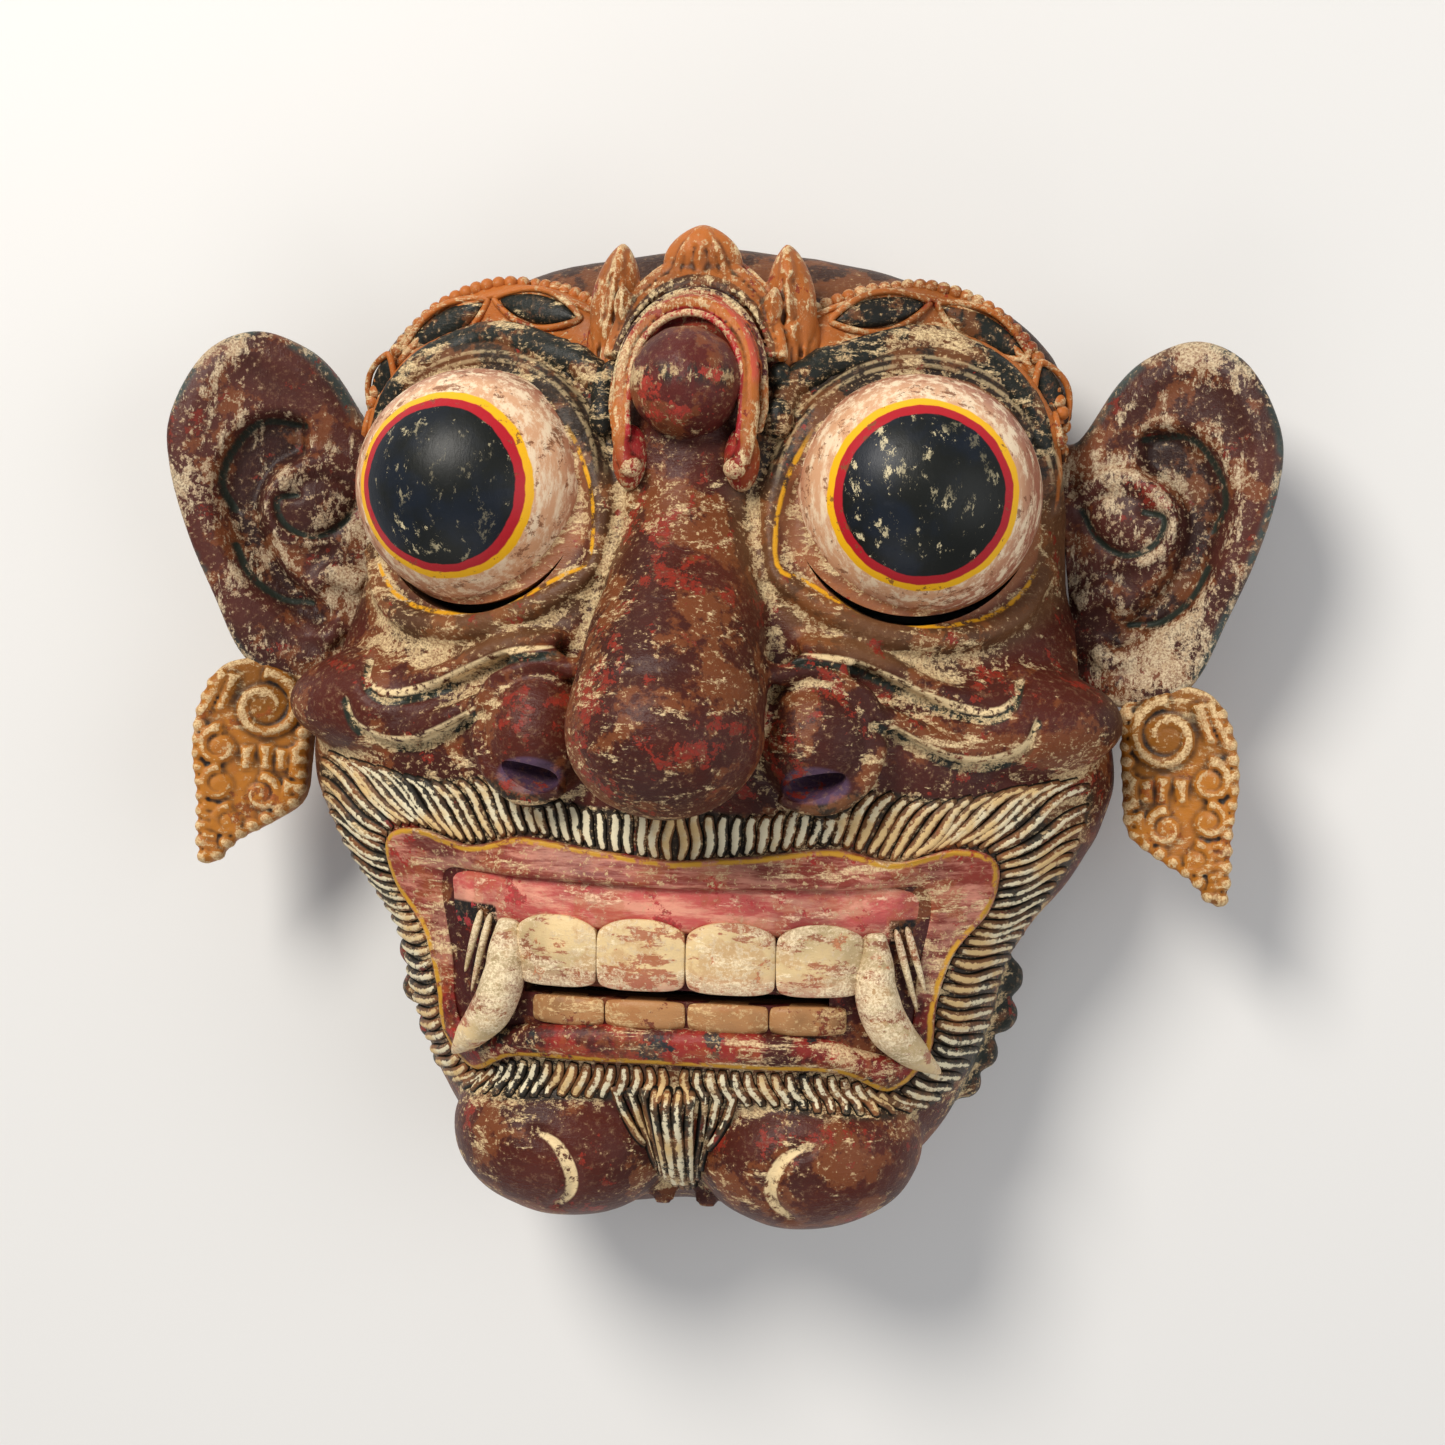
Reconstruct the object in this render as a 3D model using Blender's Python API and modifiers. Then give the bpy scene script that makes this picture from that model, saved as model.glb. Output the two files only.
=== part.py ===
"""A carved wooden demon mask: a hollow face with a crown, and two ears with earrings.

The mask lies on its back rim, face up. X runs to the viewer's right, Y up the face and Z out of it.
The carving is laid out in parts of the face, as a carver squares up a block: 211 parts across the
cheeks, 252 parts from crown to chin and 84 parts from the rim to the plain front.
"""
from math import cos, pi, radians, sin

import bmesh
import bpy
import numpy as np
from mathutils import Matrix, Vector

# Driving dimensions, in metres
FACE_WIDTH = 0.211
FACE_HEIGHT = 0.252
FACE_DEPTH = 0.084
WALL = 0.011
BELLY = 0.030
RIM_DRAW_IN = 0.0040
EYE_SPACING = 0.1100
EYE_DIAMETER = 0.0585
EYE_WIDTH = 0.0608
EYE_REACH = 0.0940
NOSE_REACH = 0.1250
NOSE_TIP_WIDTH = 0.0470
FLARE_THICKNESS = 0.0064
LIP_THICKNESS = 0.0100
GUM_HEIGHT = 0.0130
TUSK_THICKNESS = 0.0110
JEWEL_DIAMETER = 0.0270
ARCH_THICKNESS = 0.0044
TOOTH_ROUNDING = 0.0022
STRAND_THICKNESS = 0.0056
STRAND_PITCH = 0.0080
EAR_THICKNESS = 0.0080
EAR_HEIGHT = 0.0270
EAR_SPREAD = 0.0480
EAR_FORWARD = 0.0170
EARRING_DROP = 0.0530
SEE_SLIT = 0.0028
EYE_GAP = 0.0003
MOUTH_SLIT = 0.0028
SEAT_DEPTH = 0.0420
SEAT_GAP = 0.0003
CHEEK_GAP = 0.0014

# The finish of the solids: carving grain before thinning, and triangles kept
FACE_GRAIN = 0.0016
EAR_GRAIN = 0.0013
FACE_TRIANGLES = 5870
EAR_TRIANGLES = 970

# Parts of the face
ACROSS = FACE_WIDTH / 211
UP = FACE_HEIGHT / 252
OUT = FACE_DEPTH / 84

# The outline at the belly, from the crown down the right side to the chin, in parts
OUTLINE = ((0, 125), (30, 121.5), (52, 116), (67, 108.5), (80, 98), (88, 85), (92, 70), (91, 50),
           (92, 38), (96, 25), (102, 10), (105.5, -6), (104, -18), (97, -33), (87, -46), (80, -57),
           (77, -70), (72, -85), (66, -98), (57, -110), (45, -120), (28, -126), (0, -124))

# The depth of the front along the middle line, from crown to chin, in parts
MIDDLE = ((-130, 84), (-105, 87), (-80, 88), (-45, 84), (-20, 82), (0, 84), (30, 83), (60, 82),
          (80, 83), (95, 77), (110, 66), (130, 58))
ROUNDNESS = 2.1

# Where the rim's plane crosses the unit sphere that the head is pushed from
FLOOR_LEVEL = 0.42

# The middle of the eyes, how far the teeth stand to the right of the middle line, the outermost part of
# the face where the ears begin to lean forward, and the lips' thickness round the mouth from top to foot
EYE_LEVEL = 60.5
MOUTH_SHIFT = 3.4
EAR_ROOT = 95
LIP_SHAPE = (0.84, 0.94, 1.0, 0.84, 0.96, 1.0)

COLOURS = {"face": (0.17, 0.055, 0.04, 1.0), "ear": (0.14, 0.06, 0.06, 1.0)}


def clear_scene():
    for item in list(bpy.data.objects):
        bpy.data.objects.remove(item, do_unlink=True)


def collection(name):
    group = bpy.data.collections.new(name)
    bpy.context.scene.collection.children.link(group)
    return group


def smooth_line(points, count, closed=False):
    """Points spread evenly along a smooth curve through the given ones."""
    given = np.array(points, dtype=float)
    if closed:
        ends = (given[-1:], given, given[:2])
    else:
        ends = (2 * given[:1] - given[1:2], given, 2 * given[-1:] - given[-2:-1])
    guide = np.vstack(ends)
    dense = []
    for index in range(1, len(guide) - 2):
        before, start, end, after = guide[index - 1:index + 3]
        for share in np.linspace(0, 1, 12, endpoint=False):
            bend = (2 * before - 5 * start + 4 * end - after) * share ** 2
            twist = (3 * start - before - 3 * end + after) * share ** 3
            dense.append(start + 0.5 * ((end - before) * share + bend + twist))
    dense.append(guide[-2])
    dense = np.array(dense)
    steps = np.linalg.norm(np.diff(dense, axis=0), axis=1)
    length = np.concatenate(([0], np.cumsum(steps)))
    places = np.linspace(0, length[-1], count)
    return np.column_stack([np.interp(places, length, dense[:, axis]) for axis in range(dense.shape[1])])


RIGHT_SIDE = smooth_line(OUTLINE, 160)
SIDE_ANGLES = np.arctan2(RIGHT_SIDE[::-1, 0], RIGHT_SIDE[::-1, 1])[::-1]
SIDE_RADII = np.hypot(RIGHT_SIDE[:, 0], RIGHT_SIDE[:, 1])


def outline_radius(across, up):
    """The outline's distance from the centre, in parts, in the direction of a place."""
    return np.interp(np.arctan2(abs(across), up), SIDE_ANGLES, SIDE_RADII)


def middle_depth(up):
    heights, depths = zip(*MIDDLE)
    return np.interp(up, heights, depths) * OUT


def skin_height(across, up):
    """The height of the plain face over the rim's plane, in metres, at a place in parts."""
    share = min(np.hypot(across, up) / outline_radius(across, up), 0.995)
    return BELLY + (middle_depth(up) - BELLY) * (1 - share ** ROUNDNESS) ** (1 / ROUNDNESS)


def spot(across, up, lift=0.0):
    """A point on the plain face, lifted out of it by a number of parts."""
    return Vector((across * ACROSS, up * UP, skin_height(across, up) + lift * OUT))


def head_mesh(inset, rings=28, segments=72):
    """The plain head form, drawn in all round by inset, from a sphere pushed to the outline."""
    form = bmesh.new()
    bmesh.ops.create_uvsphere(form, u_segments=segments, v_segments=rings, radius=1)
    for vertex in form.verts:
        x, y, z = vertex.co
        reach = float(np.hypot(x, y))
        angle_x, angle_y = (x / reach, y / reach) if reach > 1e-6 else (0.0, 1.0)
        radius = float(outline_radius(angle_x, angle_y))
        share = reach ** (2 / ROUNDNESS)
        direction = Vector((angle_x * ACROSS, angle_y * UP, 0))
        edge = radius * share * direction
        edge -= direction.normalized() * inset * share
        if z >= 0:
            front = float(middle_depth(radius * share * angle_y)) - inset - BELLY
            vertex.co = (edge.x, edge.y, BELLY + front * z ** (2 / ROUNDNESS))
        else:
            draw_in = inset + RIM_DRAW_IN * min(-z / FLOOR_LEVEL, 1) ** 2
            edge = (radius * direction - direction.normalized() * draw_in) * min(1.0, reach / 0.6)
            vertex.co = (edge.x, edge.y, BELLY + BELLY / FLOOR_LEVEL * z)
    return form


class Carving:
    """A heap of overlapping closed forms that becomes one solid."""

    def __init__(self):
        self.form = bmesh.new()

    def add(self, form):
        mesh = bpy.data.meshes.new("form")
        form.to_mesh(mesh)
        form.free()
        self.form.from_mesh(mesh)
        bpy.data.meshes.remove(mesh)

    def ball(self, centre, radii, turn=0.0, lean=0.0, segments=28):
        form = bmesh.new()
        bmesh.ops.create_uvsphere(form, u_segments=segments, v_segments=segments * 2 // 3, radius=1)
        place = Matrix.Translation(centre) @ Matrix.Rotation(turn, 4, "Z") @ Matrix.Rotation(lean, 4, "X")
        bmesh.ops.transform(form, matrix=place @ Matrix.Diagonal((*radii, 1)), verts=form.verts)
        self.add(form)

    def block(self, centre, size, rounding, swing=0.0):
        form = bmesh.new()
        bmesh.ops.create_cube(form, size=1)
        bmesh.ops.scale(form, vec=size, verts=form.verts)
        bmesh.ops.bevel(form, geom=form.edges, offset=rounding, segments=3, affect="EDGES", profile=0.5)
        place = Matrix.Translation(centre) @ Matrix.Rotation(swing, 4, "Y")
        bmesh.ops.transform(form, matrix=place, verts=form.verts)
        self.add(form)

    def spike(self, base, tip, radius):
        axis = tip - base
        form = bmesh.new()
        bmesh.ops.create_cone(form, cap_ends=True, segments=16, radius1=radius, radius2=radius * 0.12,
                              depth=axis.length)
        place = Matrix.Translation((base + tip) / 2) @ axis.to_track_quat("Z", "Y").to_matrix().to_4x4()
        bmesh.ops.transform(form, matrix=place, verts=form.verts)
        self.add(form)

    def ropes(self, lines):
        """Round rolls along lines; each line is its points and its radii."""
        curve = bpy.data.curves.new("rolls", "CURVE")
        curve.dimensions = "3D"
        curve.bevel_depth = 1
        curve.bevel_resolution = 3
        curve.use_fill_caps = True
        for points, radii in lines:
            spline = curve.splines.new("POLY")
            spline.points.add(len(points) - 1)
            for knot, point, radius in zip(spline.points, points, radii):
                knot.co = (*point, 1)
                knot.radius = radius
        rolls = bpy.data.objects.new("rolls", curve)
        bpy.context.scene.collection.objects.link(rolls)
        mesh = bpy.data.meshes.new_from_object(rolls.evaluated_get(bpy.context.evaluated_depsgraph_get()))
        form = bmesh.new()
        form.from_mesh(mesh)
        bmesh.ops.remove_doubles(form, verts=form.verts, dist=1e-6)
        bmesh.ops.recalc_face_normals(form, faces=form.faces)
        self.add(form)
        bpy.data.objects.remove(rolls)
        bpy.data.curves.remove(curve)
        bpy.data.meshes.remove(mesh)

    def plate(self, outline, low, high, bevel):
        """A flat piece with a rounded edge, between two heights, from its outline in metres."""
        curve = bpy.data.curves.new("plate", "CURVE")
        curve.dimensions = "2D"
        curve.fill_mode = "BOTH"
        curve.extrude = (high - low) / 2 - bevel
        curve.bevel_depth = bevel
        curve.offset = -bevel
        spline = curve.splines.new("POLY")
        spline.points.add(len(outline) - 1)
        for knot, point in zip(spline.points, outline):
            knot.co = (point[0], point[1], 0, 1)
        spline.use_cyclic_u = True
        item = bpy.data.objects.new("plate", curve)
        item.location.z = (high + low) / 2
        bpy.context.scene.collection.objects.link(item)
        graph = bpy.context.evaluated_depsgraph_get()
        graph.update()
        mesh = bpy.data.meshes.new_from_object(item.evaluated_get(graph))
        mesh.transform(Matrix.Translation(item.location))
        form = bmesh.new()
        form.from_mesh(mesh)
        bmesh.ops.remove_doubles(form, verts=form.verts, dist=1e-6)
        bmesh.ops.recalc_face_normals(form, faces=form.faces)
        self.add(form)
        bpy.data.objects.remove(item)
        bpy.data.curves.remove(curve)
        bpy.data.meshes.remove(mesh)

    def object(self, name, group):
        mesh = bpy.data.meshes.new(name)
        self.form.to_mesh(mesh)
        self.form.free()
        item = bpy.data.objects.new(name, mesh)
        group.objects.link(item)
        return item


def roll(points, thickness, lift=0.0, count=16, side=1):
    """A roll laid on the face through places in parts; it thins out at both ends."""
    line = smooth_line(points, count)
    swell = np.sin(np.linspace(0.12, 0.88, count) * pi) ** 0.4
    return [spot(side * x, y, lift) for x, y in line], list(thickness / 2 * swell)


def spiral(centre, outer, inner, turns, thickness, start, side, count=26):
    """A flat scroll about a point; it runs inwards and thins."""
    points = []
    radii = []
    for share in np.linspace(0, 1, count):
        radius = outer + (inner - outer) * share
        angle = start + side * turns * 2 * pi * share
        points.append(centre + Vector((cos(angle) * radius, sin(angle) * radius, 0)))
        radii.append(thickness / 2 * (1 - 0.4 * share))
    return points, radii


def carve_eyes(carving):
    upper_lid = ((21, 41), (21, 56), (27, 73), (38, 87), (54, 93.5), (71, 91), (83, 79), (87, 62))
    lower_lid = ((21, 41), (28, 36), (38.6, 30.5), (50.7, 26.5), (62, 25.5), (73, 27.5), (82, 34), (88, 45))
    radius = EYE_DIAMETER / 2
    for side in (-1, 1):
        centre = Vector((side * EYE_SPACING / 2, EYE_LEVEL * UP, EYE_REACH - radius))
        carving.ball(centre, (EYE_WIDTH / 2, radius, radius))
        carving.ropes([roll(upper_lid, 0.0080, 0.3, side=side), roll(lower_lid, 0.0065, 1.2, side=side)])


def carve_nose(carving):
    reach = NOSE_REACH
    tip = NOSE_TIP_WIDTH / 2
    bridge = ((74, 0.42, 0.345), (58, 0.56, 0.32), (44, 0.72, 0.265), (30, 0.86, 0.19), (16, 0.96, 0.09),
              (5, 0.99, 0.015))
    line = []
    for up, width, drop in bridge:
        line.append((up, tip * width, reach - drop * reach - tip * width))
    points = smooth_line(line, 18)
    carving.ropes([([(0, up * UP, z) for up, radius, z in points], [radius for up, radius, z in points])])
    carving.ball((0, 2.5 * UP, reach - tip), (tip, 20.5 * UP, tip))
    carving.ball((0, 62 * UP, 66 * OUT), (22 * ACROSS, 34 * UP, 17 * OUT))
    flare = smooth_line(((24, 16), (33, 19), (43, 14), (48.5, 3), (45, -9), (36, -14.5), (26, -12)), 16)
    heights = np.interp(np.linspace(0, 1, len(flare)), (0, 0.5, 1), (88, 83, 90)) * OUT
    for side in (-1, 1):
        carving.ball((side * 34 * ACROSS, 0.5 * UP, 79 * OUT), (14.5 * ACROSS, 16 * UP, 15 * OUT))
        points = [(side * x * ACROSS, y * UP, z) for (x, y), z in zip(flare, heights)]
        carving.ropes([(points, [FLARE_THICKNESS / 2] * len(points))])


def carve_cheeks(carving):
    first = ((81.5, 20), (80, 13.5), (74, 10.5), (62, 13), (52, 17.5), (41, 22), (29, 23.5))
    second = ((86, 10), (83.5, 3), (76, -0.8), (67, -0.8), (58, 3), (48, 9))
    for side in (-1, 1):
        carving.ball(spot(side * 66, 5, -23), (41 * ACROSS, 17 * UP, 27 * OUT))
        carving.ball(spot(side * 86, 2, -17), (15 * ACROSS, 14 * UP, 18 * OUT))
        carving.ropes([roll(first, 0.0060, 2.6, side=side), roll(second, 0.0060, 3.2, side=side)])


def carve_brow(carving):
    stripe = ((22, 77), (23, 86), (36, 94), (54, 99.5), (68, 96.5), (79.5, 88.5), (88, 72), (88.5, 57))
    band = ((27, 100), (41, 105.5), (56, 107), (70, 102.5), (81, 93.5), (88.5, 80))
    leaves = ((32, 103.5, 54, 109.5), (57, 109.5, 80, 98), (82, 97, 89, 81))
    for side in (-1, 1):
        carving.ropes([roll(stripe, 0.0075, 1.0, side=side), roll(band, 0.0150, -2.8, side=side)])
        for x1, y1, x2, y2 in leaves:
            leaf = ((x1, y1), ((x1 + x2) / 2 + 1, (y1 + y2) / 2 + 1.5), (x2, y2))
            points, radii = roll(leaf, 0.0070, 1.6, side=side)
            carving.ropes([(points, [radius * sin(pi * (index + 1.5) / 18) for index, radius in
                                     enumerate(radii)])])


def carve_crown(carving):
    jewel = JEWEL_DIAMETER / 2
    carving.ball((0, 98 * UP, 53 * OUT), (19.5 * ACROSS, 21 * UP, 19.5 * OUT))
    carving.ball((0, 84 * UP, 66 * OUT), (15.5 * ACROSS, 19 * UP, 15.5 * OUT))
    carving.ball((0, 86 * UP, 96 * OUT - jewel), (jewel, jewel, jewel))
    arches = ((15.4, 19, 85.5, 0.26, ARCH_THICKNESS), (17.8, 22.6, 81.5, 0.30, 0.8 * ARCH_THICKNESS),
              (21.6, 31, 77, 0.33, 1.1 * ARCH_THICKNESS))
    for wide, high, height, slope, thickness in arches:
        arch = []
        for angle in np.linspace(0, pi, 24):
            y = 86 + high * sin(angle)
            arch.append((wide * cos(angle) * ACROSS, y * UP, (height - slope * (y - 70)) * OUT))
        carving.ropes([(arch, [thickness / 2] * len(arch))])
    carving.spike(Vector((0, 112 * UP, 58 * OUT)), Vector((0, 127.5 * UP, 62 * OUT)), 0.0080)
    leg = smooth_line(((15.3, 87, 81.3), (15.9, 79, 83), (15.4, 72, 84), (14.2, 66.5, 84.2)), 12)
    leaves = ((23.4, 92, 60, 20.6, 122.3, 57), (25.8, 86, 60, 27, 106, 54.5))
    for side in (-1, 1):
        for x1, y1, z1, x2, y2, z2 in leaves:
            carving.spike(Vector((side * x1 * ACROSS, y1 * UP, z1 * OUT)),
                          Vector((side * x2 * ACROSS, y2 * UP, z2 * OUT)), 0.0064)
        points = [(side * x * ACROSS, y * UP, z * OUT) for x, y, z in leg]
        carving.ropes([(points, [ARCH_THICKNESS / 2] * len(points))])
        carving.ball((side * 13.2 * ACROSS, 66 * UP, 81.5 * OUT), (4.4 * ACROSS, 5 * UP, 5.5 * OUT))


def carve_tooth(carving, x, y, width, height, depth):
    """A block that follows the face's slope across it."""
    fall = skin_height(x + width / 2, y) - skin_height(x - width / 2, y)
    swing = -np.arctan2(fall, width * ACROSS)
    size = (width * ACROSS, height * UP, depth * OUT)
    carving.block(spot(x, y), size, TOOTH_ROUNDING, swing)


def carve_mouth(carving):
    lips = ((0, -33), (20, -31.8), (38, -30.6), (54, -32), (65, -31.5), (69.5, -37), (67, -47), (61.5, -58),
            (60, -72), (55, -81), (44, -78.5), (20, -76), (0, -76))
    shares = (0, 0.30, 0.42, 0.60, 0.75, 1)
    line = smooth_line(lips, 44)
    thickness = np.interp(np.linspace(0, 1, len(line)), shares, LIP_SHAPE) * LIP_THICKNESS
    for side in (-1, 1):
        carving.ropes([([spot(side * x, y, 0.4) for x, y in line], list(thickness / 2))])
        for x, width in ((11, 19.4), (32.4, 18.6)):
            carve_tooth(carving, side * x + MOUTH_SHIFT, -52.8, width, 17.4, 11)
        for x, width in ((10.2, 17.6), (29.6, 16.6)):
            carve_tooth(carving, side * x + MOUTH_SHIFT, -67.8, width, 7.4, 6.5)
        tusk = smooth_line(((45, -46, 1.5), (45.6, -53, 2.6), (45.8, -60, 4.2), (48.8, -68.5, 5.6),
                            (55, -76, 6.2), (61, -82, 5.2)), 16)
        radii = np.interp(np.linspace(0, 1, 16), np.linspace(0, 1, 6), (0.47, 0.84, 1, 0.98, 0.7, 0.16))
        points = [spot(side * x + MOUTH_SHIFT, y, lift) for x, y, lift in tusk]
        carving.ropes([(points, list(radii * TUSK_THICKNESS / 2))])
    gum = [spot(x + MOUTH_SHIFT, -41, -3.0) for x in np.linspace(-56, 56, 24)]
    carving.ropes([(gum, [GUM_HEIGHT / 2] * len(gum))])


def carve_hair(carving):
    outer = ((0, -17), (22, -18), (44, -12), (65, -14), (86, -11), (98, -12), (97, -24), (88.5, -40),
             (79.5, -55), (75.5, -68), (70, -82), (61, -92.5), (44, -92.5), (24, -91), (3, -91))
    inner = ((0, -29), (20, -26.5), (38, -24), (53, -27), (66, -24), (76, -26), (78, -32), (74, -43),
             (67, -53), (64, -65), (62.5, -77), (53, -87.5), (40, -83), (20, -82), (3, -82))
    count = int(round(FACE_HEIGHT / STRAND_PITCH))
    sizes = np.array((0.55, 0.85, 1, 1, 1, 0.9, 0.6)) * STRAND_THICKNESS / 2
    for side in (-1, 1):
        for start, end in zip(smooth_line(outer, count), smooth_line(inner, count)):
            points = []
            for share in np.linspace(0, 1, len(sizes)):
                x, y = start + (end - start) * share
                points.append(spot(side * x, y - 1.2 * sin(pi * share), 1.7))
            carving.ropes([(points, list(sizes))])


def carve_chin(carving):
    for side in (-1, 1):
        carving.ball((side * 31.5 * ACROSS, -104 * UP, 51 * OUT), (29 * ACROSS, 21 * UP, 27 * OUT),
                     turn=side * radians(6))
        for x, y, size in ((79, -63, 5.5), (78, -73, 5), (74, -83, 4.6), (70, -91.5, 4.2)):
            carving.ball(spot(side * x, y, -13), (size * ACROSS, size * UP, 6 * OUT))
        carving.ropes([spiral(spot(side * 5, -119, 3), 0.0036, 0.0012, 0.9, 0.0034, pi / 2, -side)])
    carving.ropes([([spot(0, -88, 1), spot(0, -100, 1), spot(0, -112, 2.5)], [0.0065, 0.0052, 0.0040])])


def ear_place(x, y, lift=0.0):
    """A place on an ear's flat blank: x and y in parts, height in metres over its middle plane."""
    return Vector((x * ACROSS, y * UP, lift))


def ear_line(points, radii, count, lift):
    """A roll on the blank, through places in parts, as thick as its radii say."""
    line = smooth_line(points, count)
    sizes = np.interp(np.linspace(0, 1, count), np.linspace(0, 1, len(radii)), radii)
    return [ear_place(x, y, lift) for x, y in line], list(sizes)


def bend_ear(form, side):
    """The flat blank leans forward as it runs outward, and goes to its own side."""
    for vertex in form.verts:
        x, y, z = vertex.co
        outward = max(x - EAR_ROOT * ACROSS, -0.012) / EAR_SPREAD
        vertex.co = (side * x, y, EAR_HEIGHT + z + EAR_FORWARD * outward)
    if side < 0:
        bmesh.ops.reverse_faces(form, faces=form.faces)


def spread(points):
    """Places on the ear, moved out as the ears stand further from the face."""
    reach = EAR_SPREAD / (48 * ACROSS)
    return [(EAR_ROOT + (x - EAR_ROOT) * reach, y) for x, y in points]


def carve_ear(carving):
    """The ear: a plate with a knob, a curl round the knob, and two folds by the lobe."""
    half = EAR_THICKNESS / 2
    rim = ((93, 76), (103, 91), (111, 98), (123, 101.5), (135, 95), (143, 79), (143, 65), (138.5, 48),
           (132, 32), (124, 15), (112, 9), (97, 10))
    outline = smooth_line(spread(rim) + [(84, 12), (84, 74)], 60, closed=True)
    carving.plate([(x * ACROSS, y * UP) for x, y in outline], -half, half, 0.0012)
    carving.ball(ear_place(105, 56, half * 0.6), (9.5 * ACROSS, 8.5 * UP, 0.0046))
    curl = ((94, 64), (103, 67), (112, 64), (116.5, 56), (113, 48), (104, 46))
    fold = ((100, 20), (108, 27), (117, 31), (123, 39), (127, 47))
    flap = ((94, 35), (101, 38), (107, 34))
    carving.ropes([ear_line(spread(curl), (0.0024, 0.0036, 0.0036, 0.0034, 0.0030, 0.0020), 24, half * 0.9),
                   ear_line(spread(fold), (0.0046, 0.0042, 0.0034, 0.0028, 0.0018), 18, half * 0.7),
                   ear_line(spread(flap), (0.0040, 0.0038, 0.0024), 12, half * 0.8)])


def carve_earring(carving):
    """The earring below the lobe: a leaf of scrolls that ends in a point."""
    drop = EARRING_DROP / (53 * UP)
    half = EAR_THICKNESS / 2

    def hang(points):
        return [(x, 13 + (y - 13) * drop) for x, y in points]

    edge = ((109, 14), (127, 14), (134, 4), (136, -9), (134.5, -22), (133, -40), (126, -34), (117, -29),
            (109.5, -23), (107.8, -12), (107.2, 2))
    outline = smooth_line(hang(edge), 54, closed=True)
    carving.plate([(x * ACROSS, y * UP) for x, y in outline], -half, half, 0.0012)
    scrolls = ((118, 2, 8.6, 1.3, 5.0, 1), (127.5, -13, 5.8, 1.2, 4.2, -1), (114.8, -14, 5.6, 1.2, 4.0, 1),
               (121.5, -25, 4.6, 1.1, 3.8, -1), (129.5, -27, 3.8, 1.0, 3.4, 1))
    lines = []
    for x, y, outer, turns, thick, hand in scrolls:
        (centre_x, centre_y), = hang(((x, y),))
        centre = ear_place(centre_x, centre_y, half * 0.9)
        lines.append(spiral(centre, outer * ACROSS, 1.4 * ACROSS, turns, thick * ACROSS, pi / 2, hand, 22))
    lines.append(ear_line(hang(((133, 3), (134, -10), (133, -22), (132.5, -36))), (0.002, 0.0025, 0.001),
                          14, half * 0.8))
    carving.ropes(lines)


def side_clearance(group):
    """The head and its ear seats grown by the seat gap, which trims the ears' inner ends."""
    grown = hidden("grown_head", head_mesh(-CHEEK_GAP), group)
    cut(grown, seat_cutter(group, "grown_seats", SEAT_GAP, CHEEK_GAP), "ear seats")
    return grown


def bowl_cutter(name, side, group):
    """The ear's shallow bowl, scooped from its front."""
    carving = Carving()
    (x, y), = spread(((118.5, 54),))
    carving.ball(ear_place(x, y, EAR_THICKNESS / 2 + 0.0070), (12.5 * ACROSS, 27 * UP, 0.0115), segments=20)
    bend_ear(carving.form, side)
    return hidden(name, carving.form, group)


def make_ear(name, side, clearance, parts, cutters):
    carving = Carving()
    carve_ear(carving)
    carve_earring(carving)
    bend_ear(carving.form, side)
    ear = carving.object(name, parts)
    carve_smooth(ear, EAR_GRAIN, EAR_TRIANGLES)
    cut(ear, clearance, "seat")
    cut(ear, bowl_cutter(name + "_bowl", side, cutters), "bowl")
    paint(ear, "ear")
    return ear


def seat_cutter(group, name, gap, end_gap):
    """Blocks whose inner faces are the flat ear seats, slanted with the side of the face."""
    form = bmesh.new()
    for side in (-1, 1):
        top = Vector((side * (88.5 * ACROSS + gap), 80 * UP, 0))
        foot = Vector((side * (96.0 * ACROSS + gap), 13 * UP, 0))
        along = top - foot
        turn = Matrix.Rotation(np.arctan2(-along.x, along.y), 4, "Z")
        size = Vector((0.030, along.length - 2 * end_gap, SEAT_DEPTH))
        shift = Matrix.Translation((side * size.x / 2, 0, EAR_HEIGHT + 0.002))
        bmesh.ops.create_cube(form, size=1, matrix=Matrix.Translation((top + foot) / 2) @ turn @ shift
                              @ Matrix.Diagonal((*size, 1)))
    return hidden(name, form, group)


def hidden(name, form, group):
    """A cutter: it shows as wires and never renders."""
    mesh = bpy.data.meshes.new(name)
    form.to_mesh(mesh)
    form.free()
    item = bpy.data.objects.new(name, mesh)
    group.objects.link(item)
    item.hide_render = True
    item.display_type = "WIRE"
    return item


def floor_cutter(group):
    form = bmesh.new()
    size = 2 * (FACE_WIDTH + FACE_HEIGHT)
    place = Matrix.Translation((0, 0, -size / 2)) @ Matrix.Diagonal((size, size, size, 1))
    bmesh.ops.create_cube(form, size=1, matrix=place)
    return hidden("below_the_rim", form, group)


def slit_cutter(group):
    """Crescent slits under the eyeballs, right through the wall."""
    carving = Carving()
    turns = np.linspace(radians(214), radians(326), 18)
    swell = np.sin(np.linspace(0, pi, len(turns)))
    edges = [(angle, EYE_GAP) for angle in turns]
    edges += [(angle, EYE_GAP + SEE_SLIT * grow) for angle, grow in zip(turns[-2:0:-1], swell[-2:0:-1])]
    for side in (-1, 1):
        points = []
        for angle, grow in edges:
            points.append((side * (EYE_SPACING / 2 + (EYE_WIDTH / 2 + grow) * cos(angle)),
                           EYE_LEVEL * UP + (EYE_DIAMETER / 2 + grow) * sin(angle)))
        carving.plate(points, 0.030, EYE_REACH + 0.020, 0.0)
    return hidden("see_slits", carving.form, group)


def mouth_cutter(group):
    carving = Carving()
    carving.block((0, -63 * UP, 0.070), (76 * ACROSS, MOUTH_SLIT, 0.080), 0.0004)
    return hidden("mouth_slit", carving.form, group)


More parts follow.
